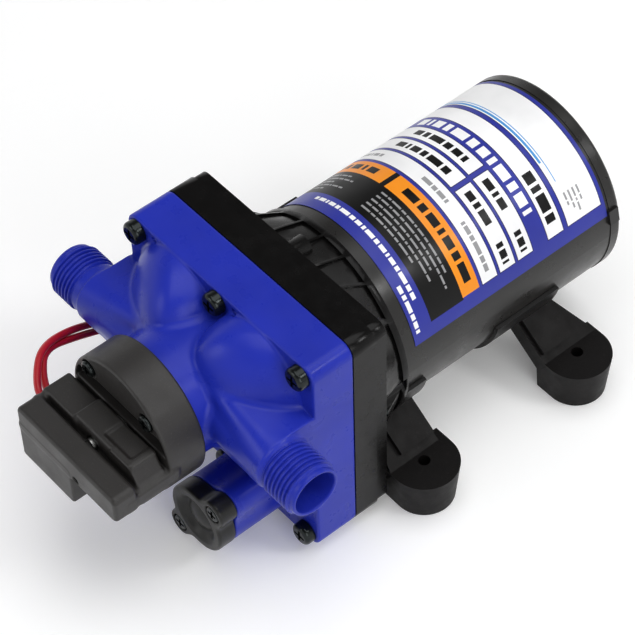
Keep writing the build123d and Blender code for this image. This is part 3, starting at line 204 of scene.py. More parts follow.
def plastic(name, base, rough, grain=0.00002, dust=0.0, wave=0.00006, specular=0.5):
    """Moulded plastic: fine grain, slight waves, uneven gloss and a little dust."""
    made = Maker(name)
    made_colour = made.ramp(made.noise(45, 3), (0.3, shade(base, 0.92)),
                            (0.7, shade(base, 1.08)))
    if dust:
        specks = made.spread(made.noise(1500, 2, rough=0.7), 0, dust, 0.62, 0.72)
        made_colour = made.mix(specks, made_colour, PLASTIC_DUST)
    made.join(made_colour, made.shader.inputs["Base Color"])
    made.join(made.spread(made.noise(160, 4), rough - 0.05, rough + 0.06),
              made.shader.inputs["Roughness"])
    made.bump((made.noise(60, 2), wave), (made.noise(GRAIN_SCALE, 3), grain))
    made.set(Specular_IOR_Level=specular)
    return made.material


def metal(name, base, rough, metallic=1.0, stretch=(1, 12, 1)):
    """Metal with fine drawn lines and uneven gloss."""
    made = Maker(name)
    drawn = made.noise(900, 3, stretch)
    made.join(made.ramp(made.noise(120, 3), (0.3, shade(base, 0.85)),
                        (0.7, shade(base, 1.1))), made.shader.inputs["Base Color"])
    made.join(made.spread(drawn, rough - 0.06, rough + 0.1), made.shader.inputs["Roughness"])
    made.bump((drawn, SCRATCH_DEPTH))
    made.set(Metallic=metallic)
    return made.material


def rubber(name, base, rough, specular=0.2):
    """Dull rubber with a thin, uneven dust."""
    made = Maker(name)
    made.set(Specular_IOR_Level=specular)
    made_colour = made.ramp(made.noise(60, 3), (0.3, shade(base, 0.85)),
                            (0.7, shade(base, 1.15)))
    specks = made.spread(made.noise(700, 4, rough=0.7), 0, RUBBER_DUST_SHARE, 0.58, 0.78)
    made.join(made.mix(specks, made_colour, RUBBER_DUST), made.shader.inputs["Base Color"])
    made.join(made.spread(made.noise(220, 4), rough - 0.07, rough + 0.08),
              made.shader.inputs["Roughness"])
    made.bump((made.noise(90, 2), RUBBER_WAVE), (made.noise(1800, 3), RUBBER_GRAIN))
    return made.material


def ink(name, base, specular=0.3):
    """One colour of the label's smooth film."""
    return plastic(name, base, 0.34, grain=0.000004, wave=0.00002, specular=specular)


blue = plastic("head_blue", colour(32, 46, 166), 0.30, specular=0.2)
housing_black = plastic("housing_black", colour(10, 9, 9), 0.24, wave=0.0001,
                        specular=0.16)
switch_black = plastic("switch_black", colour(36, 34, 33), 0.44, grain=0.00004,
                       dust=0.06, wave=0.00012, specular=0.42)
cover_black = plastic("cover_black", colour(22, 22, 21), 0.36, grain=0.00003, dust=0.05,
                      specular=0.3)
foot_black = rubber("foot_rubber", colour(13, 11, 11), 0.52, 0.16)
grommet_black = rubber("grommet_rubber", colour(24, 22, 22), 0.5)
seal_black = rubber("seal_rubber", colour(20, 20, 20), 0.5)
motor_black = plastic("motor_paint", colour(30, 29, 28), 0.30, grain=0.00001, wave=0.00008,
                      specular=0.35)
screw_black = metal("screw_black", colour(38, 42, 42), 0.15, metallic=0.8)
bright_steel = metal("bright_steel", colour(190, 190, 188), 0.28)
saddle_black = metal("saddle_black", colour(34, 33, 33), 0.4, metallic=0.6)
steel = metal("plain_steel", colour(150, 150, 150), 0.35)
core_steel = metal("core_steel", colour(105, 105, 108), 0.45, stretch=(1, 60, 1))
copper = metal("copper_wire", colour(196, 108, 62), 0.3, stretch=(1, 30, 1))
brass = metal("brass", colour(196, 160, 80), 0.3)
carbon = plastic("carbon", colour(38, 38, 40), 0.55)
ferrite = plastic("ferrite", colour(60, 60, 64), 0.7)
pale_plastic = plastic("valve_plastic", colour(205, 204, 196), 0.45)
piston_plastic = plastic("piston_plastic", colour(60, 62, 64), 0.45)
red_lead = plastic("lead_insulation", colour(178, 22, 34), 0.32, grain=0.00001,
                   wave=0.00005)

# The label's colours; "line" is the navy that edges its cells
PRINTS = {
    "blue": ink("print_blue", colour(42, 50, 150)),
    "line": ink("print_navy", colour(26, 24, 84)),
    "white": ink("print_white", colour(246, 246, 247)),
    "black": ink("print_black", colour(6, 6, 6), 0.2),
    "orange": ink("print_orange", colour(243, 146, 28)),
    "grey": ink("print_grey", colour(150, 150, 152)),
    "sky": ink("print_sky", colour(70, 150, 215)),
}

# The material of each slot in the record
LOOKS = {
    "head_plastic": blue, "black_screws": screw_black, "valve_plastic": pale_plastic,
    "valve_rubber": seal_black, "piston_plastic": piston_plastic, "steel": steel,
    "bright_steel": bright_steel, "bearing_steel": bright_steel,
    "housing_plastic": housing_black, "switch_plastic": switch_black,
    "grommet_rubber": grommet_black, "motor_paint": motor_black, "ferrite": ferrite,
    "core_steel": core_steel, "copper": copper, "carbon": carbon, "brass": brass,
    "label_film": motor_black, "saddle_steel": saddle_black, "foot_rubber": foot_black,
    "red_insulation": red_lead,
}


def dress_all():
    """Each CAD piece gets the material of the slot that the record gives it."""
    for piece in nodes.values():
        mesh = piece.data
        given = mesh.materials[0].name if mesh.materials else ""
        material = LOOKS.get(given.split(".")[0], housing_black)
        mesh.materials.clear()
        mesh.materials.append(material)


dress_all()

# Small rounds on the two plates: width in millimetres, the least angle of an edge that
# gets one in degrees, and the distance in metres at which points count as one
ROUND_WIDTH, ROUND_ANGLE, SAME_POINT = 0.45, 40, 0.00001


def soften(name):
    """Small rounds on a piece's sharp edges."""
    piece = nodes[name]
    weld = piece.modifiers.new("weld", "WELD")
    weld.merge_threshold = SAME_POINT
    bevel = piece.modifiers.new("rounds", "BEVEL")
    bevel.width = ROUND_WIDTH / 1000
    bevel.segments = 2
    bevel.limit_method = "ANGLE"
    bevel.angle_limit = math.radians(ROUND_ANGLE)
    bevel.harden_normals = True


for name in ("front_plate", "drive_housing"):
    soften(name)


# Floor, backdrop and light: lengths in metres
FLOOR_REACH, FLOOR_Z = 6.0, -0.0003
FLOOR_GLOW = 0.12
# The world's strength for plain light, and for what is seen or mirrored at the side and
# overhead, with the heights between which it fades from the one to the other
WORLD_PLAIN, WORLD_SIDE, WORLD_OVERHEAD = 0.32, 1.0, 0.15
FADE_START, FADE_END = 0.25, 0.65


def straight_rays(tree):
    """One for what is seen, mirrored or seen through glass, and nought for plain light."""
    path = tree.nodes.new("ShaderNodeLightPath")
    seen = path.outputs["Is Camera Ray"]
    for kind in ("Is Glossy Ray", "Is Transmission Ray"):
        either = tree.nodes.new("ShaderNodeMath")
        either.operation = "MAXIMUM"
        tree.links.new(seen, either.inputs[0])
        tree.links.new(path.outputs[kind], either.inputs[1])
        seen = either.outputs[0]
    return seen


def make_floor():
    """A wide pale floor, just under the feet."""
    mesh = bpy.data.meshes.new("floor")
    corners = [(-1, -1), (1, -1), (1, 1), (-1, 1)]
    mesh.from_pydata([(x * FLOOR_REACH, y * FLOOR_REACH, FLOOR_Z) for x, y in corners],
                     [], [(0, 1, 2, 3)])
    floor = bpy.data.objects.new("floor", mesh)
    bpy.context.scene.collection.objects.link(floor)
    made = Maker("floor_white")
    made.join(made.ramp(made.noise(3, 2), (0.3, colour(250, 250, 250)),
                        (0.7, colour(255, 255, 255))), made.shader.inputs["Base Color"])
    made.set(Roughness=0.9, Specular_IOR_Level=0.0, Emission_Color=(1, 1, 1, 1))
    made.join(made.spread(straight_rays(made.tree), 0, FLOOR_GLOW, 0, 1),
              made.shader.inputs["Emission Strength"])
    mesh.materials.append(made.material)


def make_world():
    """Soft even light, and a backdrop that is white at the sides and grey overhead."""
    world = bpy.data.worlds.new("studio")
    world.use_nodes = True
    tree = world.node_tree
    back = tree.nodes["Background"]
    back.inputs["Color"].default_value = (1, 1, 1, 1)
    level = tree.nodes.new("ShaderNodeMapRange")
    level.inputs["To Min"].default_value = WORLD_PLAIN
    direction = tree.nodes.new("ShaderNodeTexCoord")
    parts = tree.nodes.new("ShaderNodeSeparateXYZ")
    tree.links.new(direction.outputs["Generated"], parts.inputs["Vector"])
    overhead = tree.nodes.new("ShaderNodeMapRange")
    for name, number in (("From Min", FADE_START), ("From Max", FADE_END),
                         ("To Min", WORLD_SIDE), ("To Max", WORLD_OVERHEAD)):
        overhead.inputs[name].default_value = number
    tree.links.new(parts.outputs["Z"], overhead.inputs["Value"])
    tree.links.new(overhead.outputs["Result"], level.inputs["To Max"])
    tree.links.new(straight_rays(tree), level.inputs["Value"])
    tree.links.new(level.outputs["Result"], back.inputs["Strength"])
    bpy.context.scene.world = world


def lamp(name, place, target, size, power, size_y=None):
    """A rectangular lamp that faces its target; lengths in metres, power in watts."""
    data = bpy.data.lights.new(name, "AREA")
    data.shape = "RECTANGLE"
    data.size = size
    data.size_y = size_y or size
    data.energy = power
    made = bpy.data.objects.new(name, data)
    direction = Vector(target) - Vector(place)
    made.matrix_world = (Matrix.Translation(place)
                         @ direction.to_track_quat("-Z", "Y").to_matrix().to_4x4())
    bpy.context.scene.collection.objects.link(made)


make_floor()
make_world()
lamp("top_light", (0.10, 0.10, 1.35), (0, 0, 0.05), 1.2, 9.5)
lamp("right_light", (1.3, -0.35, 0.75), (0, 0, 0.05), 0.8, 5.2)
lamp("front_light", (-0.5, -1.3, 0.8), (0, 0, 0.05), 0.7, 3.5)
lamp("edge_light", (0.82, 0.57, 0.98), (0, 0, 0.06), 0.34, 3.2, 0.24)
view = bpy.context.scene.view_settings
view.view_transform = "Standard"


# Leads
LEAD_RADIUS = 0.00135


def make_lead(name, node, route):
    """A red lead along its route in millimetres; its length is in metres."""
    curve = bpy.data.curves.new(name, "CURVE")
    curve.dimensions = "3D"
    spline = curve.splines.new("NURBS")
    places = at(route)
    spline.points.add(len(places) - 1)
    for point, place in zip(spline.points, places):
        point.co = (*place, 1)
    spline.order_u = 3
    spline.use_endpoint_u = True
    spline.resolution_u = 16
    curve.bevel_depth = LEAD_RADIUS
    curve.bevel_resolution = 6
    curve.use_fill_caps = True
    curve.materials.append(red_lead)
    piece = bpy.data.objects.new(name, curve)
    bpy.context.scene.collection.objects.link(piece)
    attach(piece, "pump_body")
    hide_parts(node)


make_lead("red_lead_outer", "switch_lead_outer",
          [(-20, -55.5, 6.5), (-30.8, -55.3, 6.8), (-39.2, -50.7, 8.3), (-48, -42, 9),
           (-51.7, -26.8, 3.6), (-51.8, -10.4, -4.4), (-54, 12, -5), (-52.5, 34, -3),
           (-47, 47, 0.5), (-44, 58, 2), (-44, 68, 2)])
make_lead("red_lead_inner", "switch_lead_inner",
          [(-20, -51.9, 5), (-30, -51.9, 5), (-40.2, -47.6, 5.2), (-49, -40.2, 5.8),
           (-49.8, -26.2, 0.6), (-51.3, -10, -8), (-52.4, 12, -9.2), (-51.6, 34, -7.5),
           (-47, 47, -4), (-44, 58, -2.2), (-44, 68, -2.2)])


# Smooth moulded bodies: each is a field of distances in millimetres, negative inside, and
# its surface is where the field is nought
def rmin(first, second, radius):
    """Both bodies, with a hollow of that radius where they meet."""
    u, v = np.maximum(radius - first, 0), np.maximum(radius - second, 0)
    return np.maximum(radius, np.minimum(first, second)) - np.sqrt(u * u + v * v)


def rmax(first, second, radius):
    """What both bodies share, with its edge rounded to that radius."""
    u, v = np.maximum(radius + first, 0), np.maximum(radius + second, 0)
    return np.minimum(-radius, np.maximum(first, second)) + np.sqrt(u * u + v * v)


def cut(body, tool, radius):
    """The body without the tool, with the edge rounded to that radius."""
    return rmax(body, -tool, radius)


def panel(u, v, u_low, u_high, v_low, v_high, corner):
    """A rounded rectangle's distance; its sides may be arrays."""
    du = np.abs(u - (u_low + u_high) / 2) - (u_high - u_low) / 2 + corner
    dv = np.abs(v - (v_low + v_high) / 2) - (v_high - v_low) / 2 + corner
    outside = np.sqrt(np.maximum(du, 0) ** 2 + np.maximum(dv, 0) ** 2)
    return outside + np.minimum(np.maximum(du, dv), 0) - corner


def between(t, low, high):
    """The distance to a slab."""
    return np.abs(t - (low + high) / 2) - (high - low) / 2


def pillar(x, y, z, centre_x, centre_z, radius, front, back, edge):
    """A round body along Y with rounded ends."""
    side = np.hypot(x - centre_x, z - centre_z) - radius
    return rmax(side, between(y, front, back), edge)


def brick(x, y, z, left, right, front, back, bottom, top, edge, corner=None):
    """A block with rounded edges; those along Y may have a radius of their own."""
    side = panel(x, z, left, right, bottom, top, edge if corner is None else corner)
    return rmax(side, between(y, front, back), edge)


def along(values, axis):
    """One axis's values, in a shape that spreads over the other two."""
    return values.reshape([-1 if k == axis else 1 for k in range(3)])


def net_points(value, inside, axes):
    """The mean crossing in each cell that the surface passes, and each cell's number."""
    shape = tuple(n - 1 for n in value.shape)
    total = np.zeros(shape + (3,), np.float32)
    count = np.zeros(shape, np.int32)
    for axis in range(3):
        others = [k for k in range(3) if k != axis]
        first = tuple(slice(None, -1) if k == axis else slice(None) for k in range(3))
        second = tuple(slice(1, None) if k == axis else slice(None) for k in range(3))
        cross = inside[first] != inside[second]
        span = value[first] - value[second]
        share = np.where(cross, value[first] / np.where(span == 0, 1, span), 0)
        low, high = along(axes[axis][:-1], axis), along(axes[axis][1:], axis)
        point = np.zeros(cross.shape + (3,), np.float32)
        point[..., axis] = low + (high - low) * share
        for k in others:
            point[..., k] = along(axes[k], k)
        point *= cross[..., None]
        for a in (0, 1):
            for b in (0, 1):
                part = [slice(None)] * 3
                part[others[0]] = slice(a, a + shape[others[0]])
                part[others[1]] = slice(b, b + shape[others[1]])
                total += point[tuple(part)]
                count += cross[tuple(part)]
    used = count > 0
    index = np.full(shape, -1, np.int64)
    index[used] = np.arange(used.sum())
    return (total[used] / count[used][:, None]).astype(float), index


def net_faces(inside, index):
    """A face round each grid line that the surface crosses, turned to look outwards."""
    faces = []
    for axis in range(3):
        others = [k for k in range(3) if k != axis]
        a, b = others[::-1] if axis == 1 else others
        first = tuple(slice(None, -1) if k == axis else slice(1, -1) for k in range(3))
        second = tuple(slice(1, None) if k == axis else slice(1, -1) for k in range(3))
        cross = inside[first] != inside[second]
        base = np.argwhere(cross)
        if not len(base):
            continue
        base[:, others] += 1
        corners = []
        for da, db in ((1, 1), (0, 1), (0, 0), (1, 0)):
            cell = base.copy()
            cell[:, a] -= da
            cell[:, b] -= db
            corners.append(index[cell[:, 0], cell[:, 1], cell[:, 2]])
        quad = np.stack(corners, 1)
        falling = ~inside[first][cross]
        quad[falling] = quad[falling][:, ::-1]
        faces.append(quad)
    return np.concatenate(faces)


def net(field, xs, ys, zs):
    """The field's zero surface as points and four-sided faces."""
    value = field(*np.meshgrid(xs, ys, zs, indexing="ij")).astype(np.float32)
    inside = value < 0
    points, index = net_points(value, inside, (xs, ys, zs))
    return points, net_faces(inside, index)


def slope(field, points, step=0.03):
    """The way in which the field grows at each point, measured over the step."""
    rows = []
    for axis in range(3):
        shift = np.zeros(3)
        shift[axis] = step
        ahead, behind = points + shift, points - shift
        rows.append((field(*ahead.T) - field(*behind.T)) / (2 * step))
    return np.stack(rows, 1)


# How near a place its grid lines stand closer together, in millimetres
FINE_REACH = 1.3


def lines(low, high, step, *fine):
    """Grid lines from low to high, closer together round the places given."""
    grid = [low]
    while grid[-1] < high:
        here = grid[-1]
        near = any(abs(here - place) < FINE_REACH for place in fine)
        grid.append(here + (step / 2 if near else step))
    return np.array(grid)


# How often points are drawn onto the surface, how far at once in millimetres, and the
# least that the slope's square counts as, so that flat spots don't throw points far off
DRAWS, LONGEST_MOVE, LEAST_SLOPE = 3, 0.6, 0.25
# The step in millimetres over which the shading's normals are measured
NORMAL_STEP = 0.06


def moulded(name, field, xs, ys, zs, material, body, slot, *replaced):
    """A piece from its field, with its points drawn onto the true surface."""
    points, faces = net(field, xs, ys, zs)
    for _ in range(DRAWS):
        way = slope(field, points)
        size = np.maximum((way * way).sum(1), LEAST_SLOPE)
        move = (field(*points.T) / size)[:, None] * way
        points -= np.clip(move, -LONGEST_MOVE, LONGEST_MOVE)
    points = np.clip(points, *(np.array(cad_box) * 1000 - SHIFT))
    normals = slope(field, points, NORMAL_STEP)
    normals /= np.linalg.norm(normals, axis=1)[:, None]
    add_mesh(name, points, faces, material, body, replaced, normals)


def add_mesh(name, points, faces, material, body, replaced=(), normals=None):
    """A shown piece from points in millimetres and four-sided faces."""
    mesh = bpy.data.meshes.new(name)
    mesh.vertices.add(len(points))
    mesh.vertices.foreach_set("co", at(points).astype(np.float32).ravel())
    mesh.loops.add(faces.size)
    mesh.loops.foreach_set("vertex_index", faces.astype(np.int32).ravel())
    mesh.polygons.add(len(faces))
    mesh.polygons.foreach_set("loop_start", np.arange(len(faces), dtype=np.int32)
                              * faces.shape[1])
    mesh.update(calc_edges=True)
    mesh.validate()
    if normals is not None:
        mesh.normals_split_custom_set_from_vertices([tuple(n) for n in normals])
    mesh.materials.append(material)
    piece = bpy.data.objects.new(name, mesh)
    bpy.context.scene.collection.objects.link(piece)
    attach(piece, body)
    if replaced:
        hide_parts(*replaced)
    return piece


# Places on the head: pairs of X and Z for what looks forward, and of Y and Z for the
# holes of the leads; the threads start at these distances from the middle
FLANGE_HALF_WIDTH, FLANGE_HALF_HEIGHT, FLANGE_CORNER, FLANGE_BACK = 49, 47.5, 5, 17.4
HEAD_SCREWS = [(x, z) for x in (-43, 0, 43) for z in (-42.5, 42.5)]
SEAM_NOTCHES = (-34, 9)
PORT_Y, PORT_Z, PORT_R = -14.4, 15.1, 10.0
THREAD_START = {-1: 53.0, 1: 50.4}
THREAD_END = 66.4
BULGE_X, BULGE_Y, BULGE_Z = 21.5, -21.5, 27.0
SWITCH_Z = 12.5
SWITCH_SCREWS = [(x, 28.0) for x in (-15.5, 15.5)]
SWITCH_NOTCH = (5.4, 7.6)
LEAD_HOLES = ((-55.5, 6.5), (-51.9, 5.0))
BYPASS_X, BYPASS_Z = 20.5, -30.8
EAR_REACH = 15.9
EARS = [(BYPASS_X + EAR_REACH * 0.625 * side, BYPASS_Z + EAR_REACH * 0.78 * side)
        for side in (-1, 1)]


# Pump head
def duct(x, y, z):
    """The duct between the ports: flat in the middle, lower and rounder at its ends."""
    away = np.abs(x)
    share = np.clip((away - 20) / 29, 0, 1)
    front = -19.6 - 5.0 * share
    bottom = -2.4 + 7.4 * share
    top = 29.6 - 3.9 * share
    corner = 4.0 + 5.0 * share
    outline = panel(y, z, front, 6.0, bottom, top, corner)
    return rmax(outline, away - 49.0, 0.4)


def port_tube(x, y, z):
    """The smooth tubes behind the two threads."""
    outline = np.hypot(y - PORT_Y, z - PORT_Z) - PORT_R
    reach = np.where(x < 0, THREAD_START[-1], THREAD_START[1])
    return rmax(outline, np.abs(x) - reach, 0.3)


def bulge(x, y, z, side):
    """An egg-shaped bulge, with its outer front corner sloped off."""
    across = side * x - BULGE_X
    width = np.where(across > 0, 25.0, 21.0)
    total = (np.abs(across / width) ** 2.3 + np.abs((z - BULGE_Z) / 19.6) ** 2.3
             + np.abs(np.minimum(y, 0) / 23.2) ** 2.1)
    body = (np.maximum(total, 1e-6) ** (1 / 2.25) - 1) * 17.0
    body = rmax(body, y - 8, 0.5)
    slant = (across - 2.5) * 0.60 - (y - BULGE_Y) * 0.76 + (z - BULGE_Z) * 0.25
    return rmax(body, slant, 12.0)


def bypass_outline(x, z, radius, ear_radius, hollow):
    """The bypass valve's round outline with its two ears."""
    outline = np.hypot(x - BYPASS_X, z - BYPASS_Z) - radius
    for ear_x, ear_z in EARS:
        outline = rmin(outline, np.hypot(x - ear_x, z - ear_z) - ear_radius, hollow)
    return outline


def port_bore(x, y, z):
    """The ports' bores, wide at the mouth and narrower further in."""
    away = np.abs(x)
    radius = np.hypot(y - PORT_Y, z - PORT_Z)
    return np.minimum(np.maximum(radius - 8.3, 36 - away),
                      np.maximum(radius - 6.5, 24 - away))


def head_field(x, y, z):
    """The whole head, less its two threads."""
    body = rmin(duct(x, y, z), port_tube(x, y, z), 1.6)
    body = rmin(body, pillar(x, y, z, 0, SWITCH_Z, 23.4, -28.0, 8, 0.6), 2.5)
    for side in (-1, 1):
        body = rmin(body, bulge(x, y, z, side), 2.0)
    low = rmax(bypass_outline(x, z, 13.2, 5.0, 7.0), between(y, -24.0, 8), 0.5)
    body = rmin(body, low, 4.0)
    flange = panel(x, z, -FLANGE_HALF_WIDTH, FLANGE_HALF_WIDTH, -FLANGE_HALF_HEIGHT,
                   FLANGE_HALF_HEIGHT, FLANGE_CORNER)
    flange = rmax(flange, between(y, 0, FLANGE_BACK), 0.9)
    hollow = 0.02 + np.clip((46.5 - np.abs(x)) / 4, 0, 1)
    body = rmin(body, flange, hollow)
    for screw_x, screw_z in HEAD_SCREWS:
        pocket = np.hypot(x - screw_x, z - screw_z) - 5.3
        body = cut(body, rmax(pocket, y + 0.02, 0.3), 0.4)
    for notch_x in SEAM_NOTCHES:
        notch = brick(x, y, z, notch_x - 1.2, notch_x + 1.2, -1, 0.8, 43.4, 45.6, 0.2)
        body = cut(body, notch, 0.15)
    return cut(body, port_bore(x, y, z), 0.3)


def thread(name, side):
    """The port's outer thread, its mouth and the wall of its bore."""
    around, pitch, depth, step = 120, 1.814, 1.05, 0.13
    root_radius, relief_radius = 9.55, 9.9
    start = THREAD_START[side]
    turns = np.linspace(0, 2 * np.pi, around, endpoint=False)
    profile = []
    for x in np.arange(start - 1.2, THREAD_END - 0.9, step):
        phase = (x / pitch + side * turns / (2 * np.pi)) % 1.0
        crest = np.clip(1.6 - np.abs(phase - 0.5) * 5.2, 0, 1)
        crest = crest * crest * (3 - 2 * crest)
        grow = min(1, max(0, (x - start - 0.2) / 1.0))
        fade = min(1, max(0, (THREAD_END - 1.5 - x) / 1.4))
        root = root_radius if x > start else relief_radius
        profile.append((np.full(around, x), root + depth * crest * grow * fade))
    mouth = [(THREAD_END - back, radius) for back, radius in
             ((0.8, 9.5), (0.35, 9.42), (0.1, 9.25), (0, 9.0), (0, 8.75), (0.12, 8.5),
              (0.4, 8.32), (1, 8.25))]
    for x, radius in mouth + [(58, 8.25), (50, 8.25), (44, 8.25)]:
        profile.append((np.full(around, x), np.full(around, radius)))
    points = [np.stack([side * place, PORT_Y + radius * np.cos(turns),
                        PORT_Z + radius * np.sin(turns)], 1) for place, radius in profile]
    ring, turn = np.meshgrid(np.arange(len(points) - 1), np.arange(around), indexing="ij")
    following = (turn + 1) % around
    faces = np.stack([ring * around + turn, (ring + 1) * around + turn,
                      (ring + 1) * around + following, ring * around + following], -1)
    faces = faces.reshape(-1, 4)
    if side > 0:
        faces = faces[:, ::-1]
    add_mesh(name, np.concatenate(points), faces, blue, "pump_body")


moulded("head_casting", head_field, lines(-54, 51.4, 0.72, -50, 50, -49, 49),
        lines(-29, 18.5, 0.72, 0, 17.4, -28), lines(-48.5, 48.5, 0.72, -47, 47),
        blue, "pump_body", "head_plastic", "pump_head")
thread("thread_left", -1)
thread("thread_right", 1)


# Pressure switch
def switch_cover(x, y, z):
    """The round cover: its face steps back below the seats of its two upper screws."""
    radius = np.hypot(x, z - SWITCH_Z)
    body = pillar(x, y, z, 0, SWITCH_Z, 26.4, -43.4, -28.0, 1.1)
    share = np.clip((25.5 - z) / 6.5, 0, 1)
    face = -43.7 + 5.0 * share * share * (3 - 2 * share)
    valley = rmax(rmax(radius - 24.7, y - face, 0.8), 17.2 - z, 0.5)
    body = cut(body, valley, 0.7)
    for screw_x, screw_z in SWITCH_SCREWS:
        seat = pillar(x, y, z, screw_x, screw_z, 4.3, -43.2, -36, 0.6)
        body = rmin(body, rmax(seat, radius - 26.4, 0.6), 0.8)
        body = cut(body, pillar(x, y, z, screw_x, screw_z, 3.5, -50, -42.7, 0.2), 0.3)
    return body


def switch_block(x, y, z):
    """The block in front of the cover, with its raised top, front bar and terminals."""
    lower = brick(x, y, z, -26.8, 27.2, -62, -40, 6.0, 12.0, 1.0)
    left = brick(x, y, z, -26.8, -7.5, -55.8, -44.6, 6.0, 17.4, 1.0)
    right = brick(x, y, z, -9.6, 21.4, -55.6, -44.6, 6.0, 19.2, 0.8)
    raised = rmin(left, right, 1.4)
    lean = (y + 55.6) * -0.83 + (z - 17.6) * 0.56
    raised = rmax(raised, lean, 0.7)
    skirt = (x - 21.4) * 0.84 + (z - 17.6) * 0.54
    wing = brick(x, y, z, 10.0, 27.0, -55.6, -44.6, 6.0, 19.2, 0.8)
    raised = rmin(raised, rmax(wing, skirt, 0.7), 0.5)
    tray = brick(x, y, z, 3.8, 18.2, -52.8, -40, 18.4, 30, 1.0)
    raised = cut(raised, tray, 0.7)
    bar = brick(x, y, z, -26.8, 27.6, -67.3, -57.8, 5.4, 17.2, 1.5, 2.4)
    terminal = brick(x, y, z, -26.8, 2.4, -67.3, -50, -8.4, 9.6, 1.0, 1.5)
    end = brick(x, y, z, -26.8, -23.6, -60, -54, 6.0, 16.4, 1.2)
    radius = np.hypot(x, z - SWITCH_Z)
    block = rmax(rmin(lower, raised, 1.6), radius - 27.8, 0.8)
    block = rmin(block, bar, 1.2)
    block = rmin(block, end, 1.4)
    return rmin(block, terminal, 0.8)


def switch_field(x, y, z):
    """The switch's housing, with room for its adjusting screw and its leads."""
    body = rmin(switch_cover(x, y, z), switch_block(x, y, z), 1.4)
    notch = np.hypot(x - SWITCH_NOTCH[0], z - SWITCH_NOTCH[1]) - 1.4
    body = cut(body, rmax(notch, y + 60.5, 0.3), 0.2)
    hollow = np.hypot(x, z - SWITCH_Z) - 2.75
    body = cut(body, rmax(hollow, between(y, -58.1, -54.6), 0.3), 0.4)
    access = np.hypot(x, z - 13.6) - 3.1
    body = cut(body, rmax(access, between(y, -60.4, -55.3), 0.5), 0.5)
    for hole_y, hole_z in LEAD_HOLES:
        hole = np.hypot(y - hole_y, z - hole_z) - 1.45
        body = cut(body, rmax(hole, x + 22.0, 0.1), 0.3)
    return body


moulded("switch_casting", switch_field, lines(-27.8, 28.6, 0.5), lines(-68.3, -27, 0.5),
        lines(-16.0, 40.0, 0.5), switch_black, "pump_body", "switch_plastic",
        "switch_cover", "switch_base")


# Bypass cover
def cover_field(x, y, z):
    """The cover with its dished middle, low dome and two screw pockets."""
    body = rmax(bypass_outline(x, z, 13.4, 5.3, 4.0), between(y, -31.4, -23.9), 1.1)
    radius = np.hypot(x - BYPASS_X, z - BYPASS_Z)
    dish = np.hypot(radius, (y + 35.6) * 1.2) - 11.0
    body = cut(body, dish, 1.0)
    dome = np.hypot(radius * 0.72, (y + 27.0) * 1.5) - 5.2
    body = rmin(body, dome, 1.2)
    for ear_x, ear_z in EARS:
        pocket = np.hypot(x - ear_x, z - ear_z) - 3.5
        body = cut(body, rmax(pocket, y + 28.9, 0.2), 0.5)
    return body


moulded("bypass_casting", cover_field, lines(1.5, 39.5, 0.42), lines(-32.4, -23, 0.42),
        lines(-50, -11, 0.42), cover_black, "pump_body", "switch_plastic", "bypass_cover")


# Label round the motor: cells and plain bars, with no writing. Places along the motor and
# radii are in millimetres, and places round it and the bars' lengths in degrees
LABEL_RADIUS, LABEL_UNDER = 39.97, 39.74
LABEL_FRONT, LABEL_BACK, LABEL_LOW, LABEL_HIGH = 54.2, 146.2, 15.0, 165.0
CELL_LINE, CELL_LINE_ANGLE = 0.35, 0.5
BAR_LENGTHS = (4.2, 2.1, 6.3, 3.0, 5.1, 1.6, 4.6, 2.8, 7.0, 3.6)
# The widest strips of the film's grid along and round the motor, and the narrowest
WIDEST_ALONG, WIDEST_ROUND, NARROWEST = 6.0, 2.0, 0.03


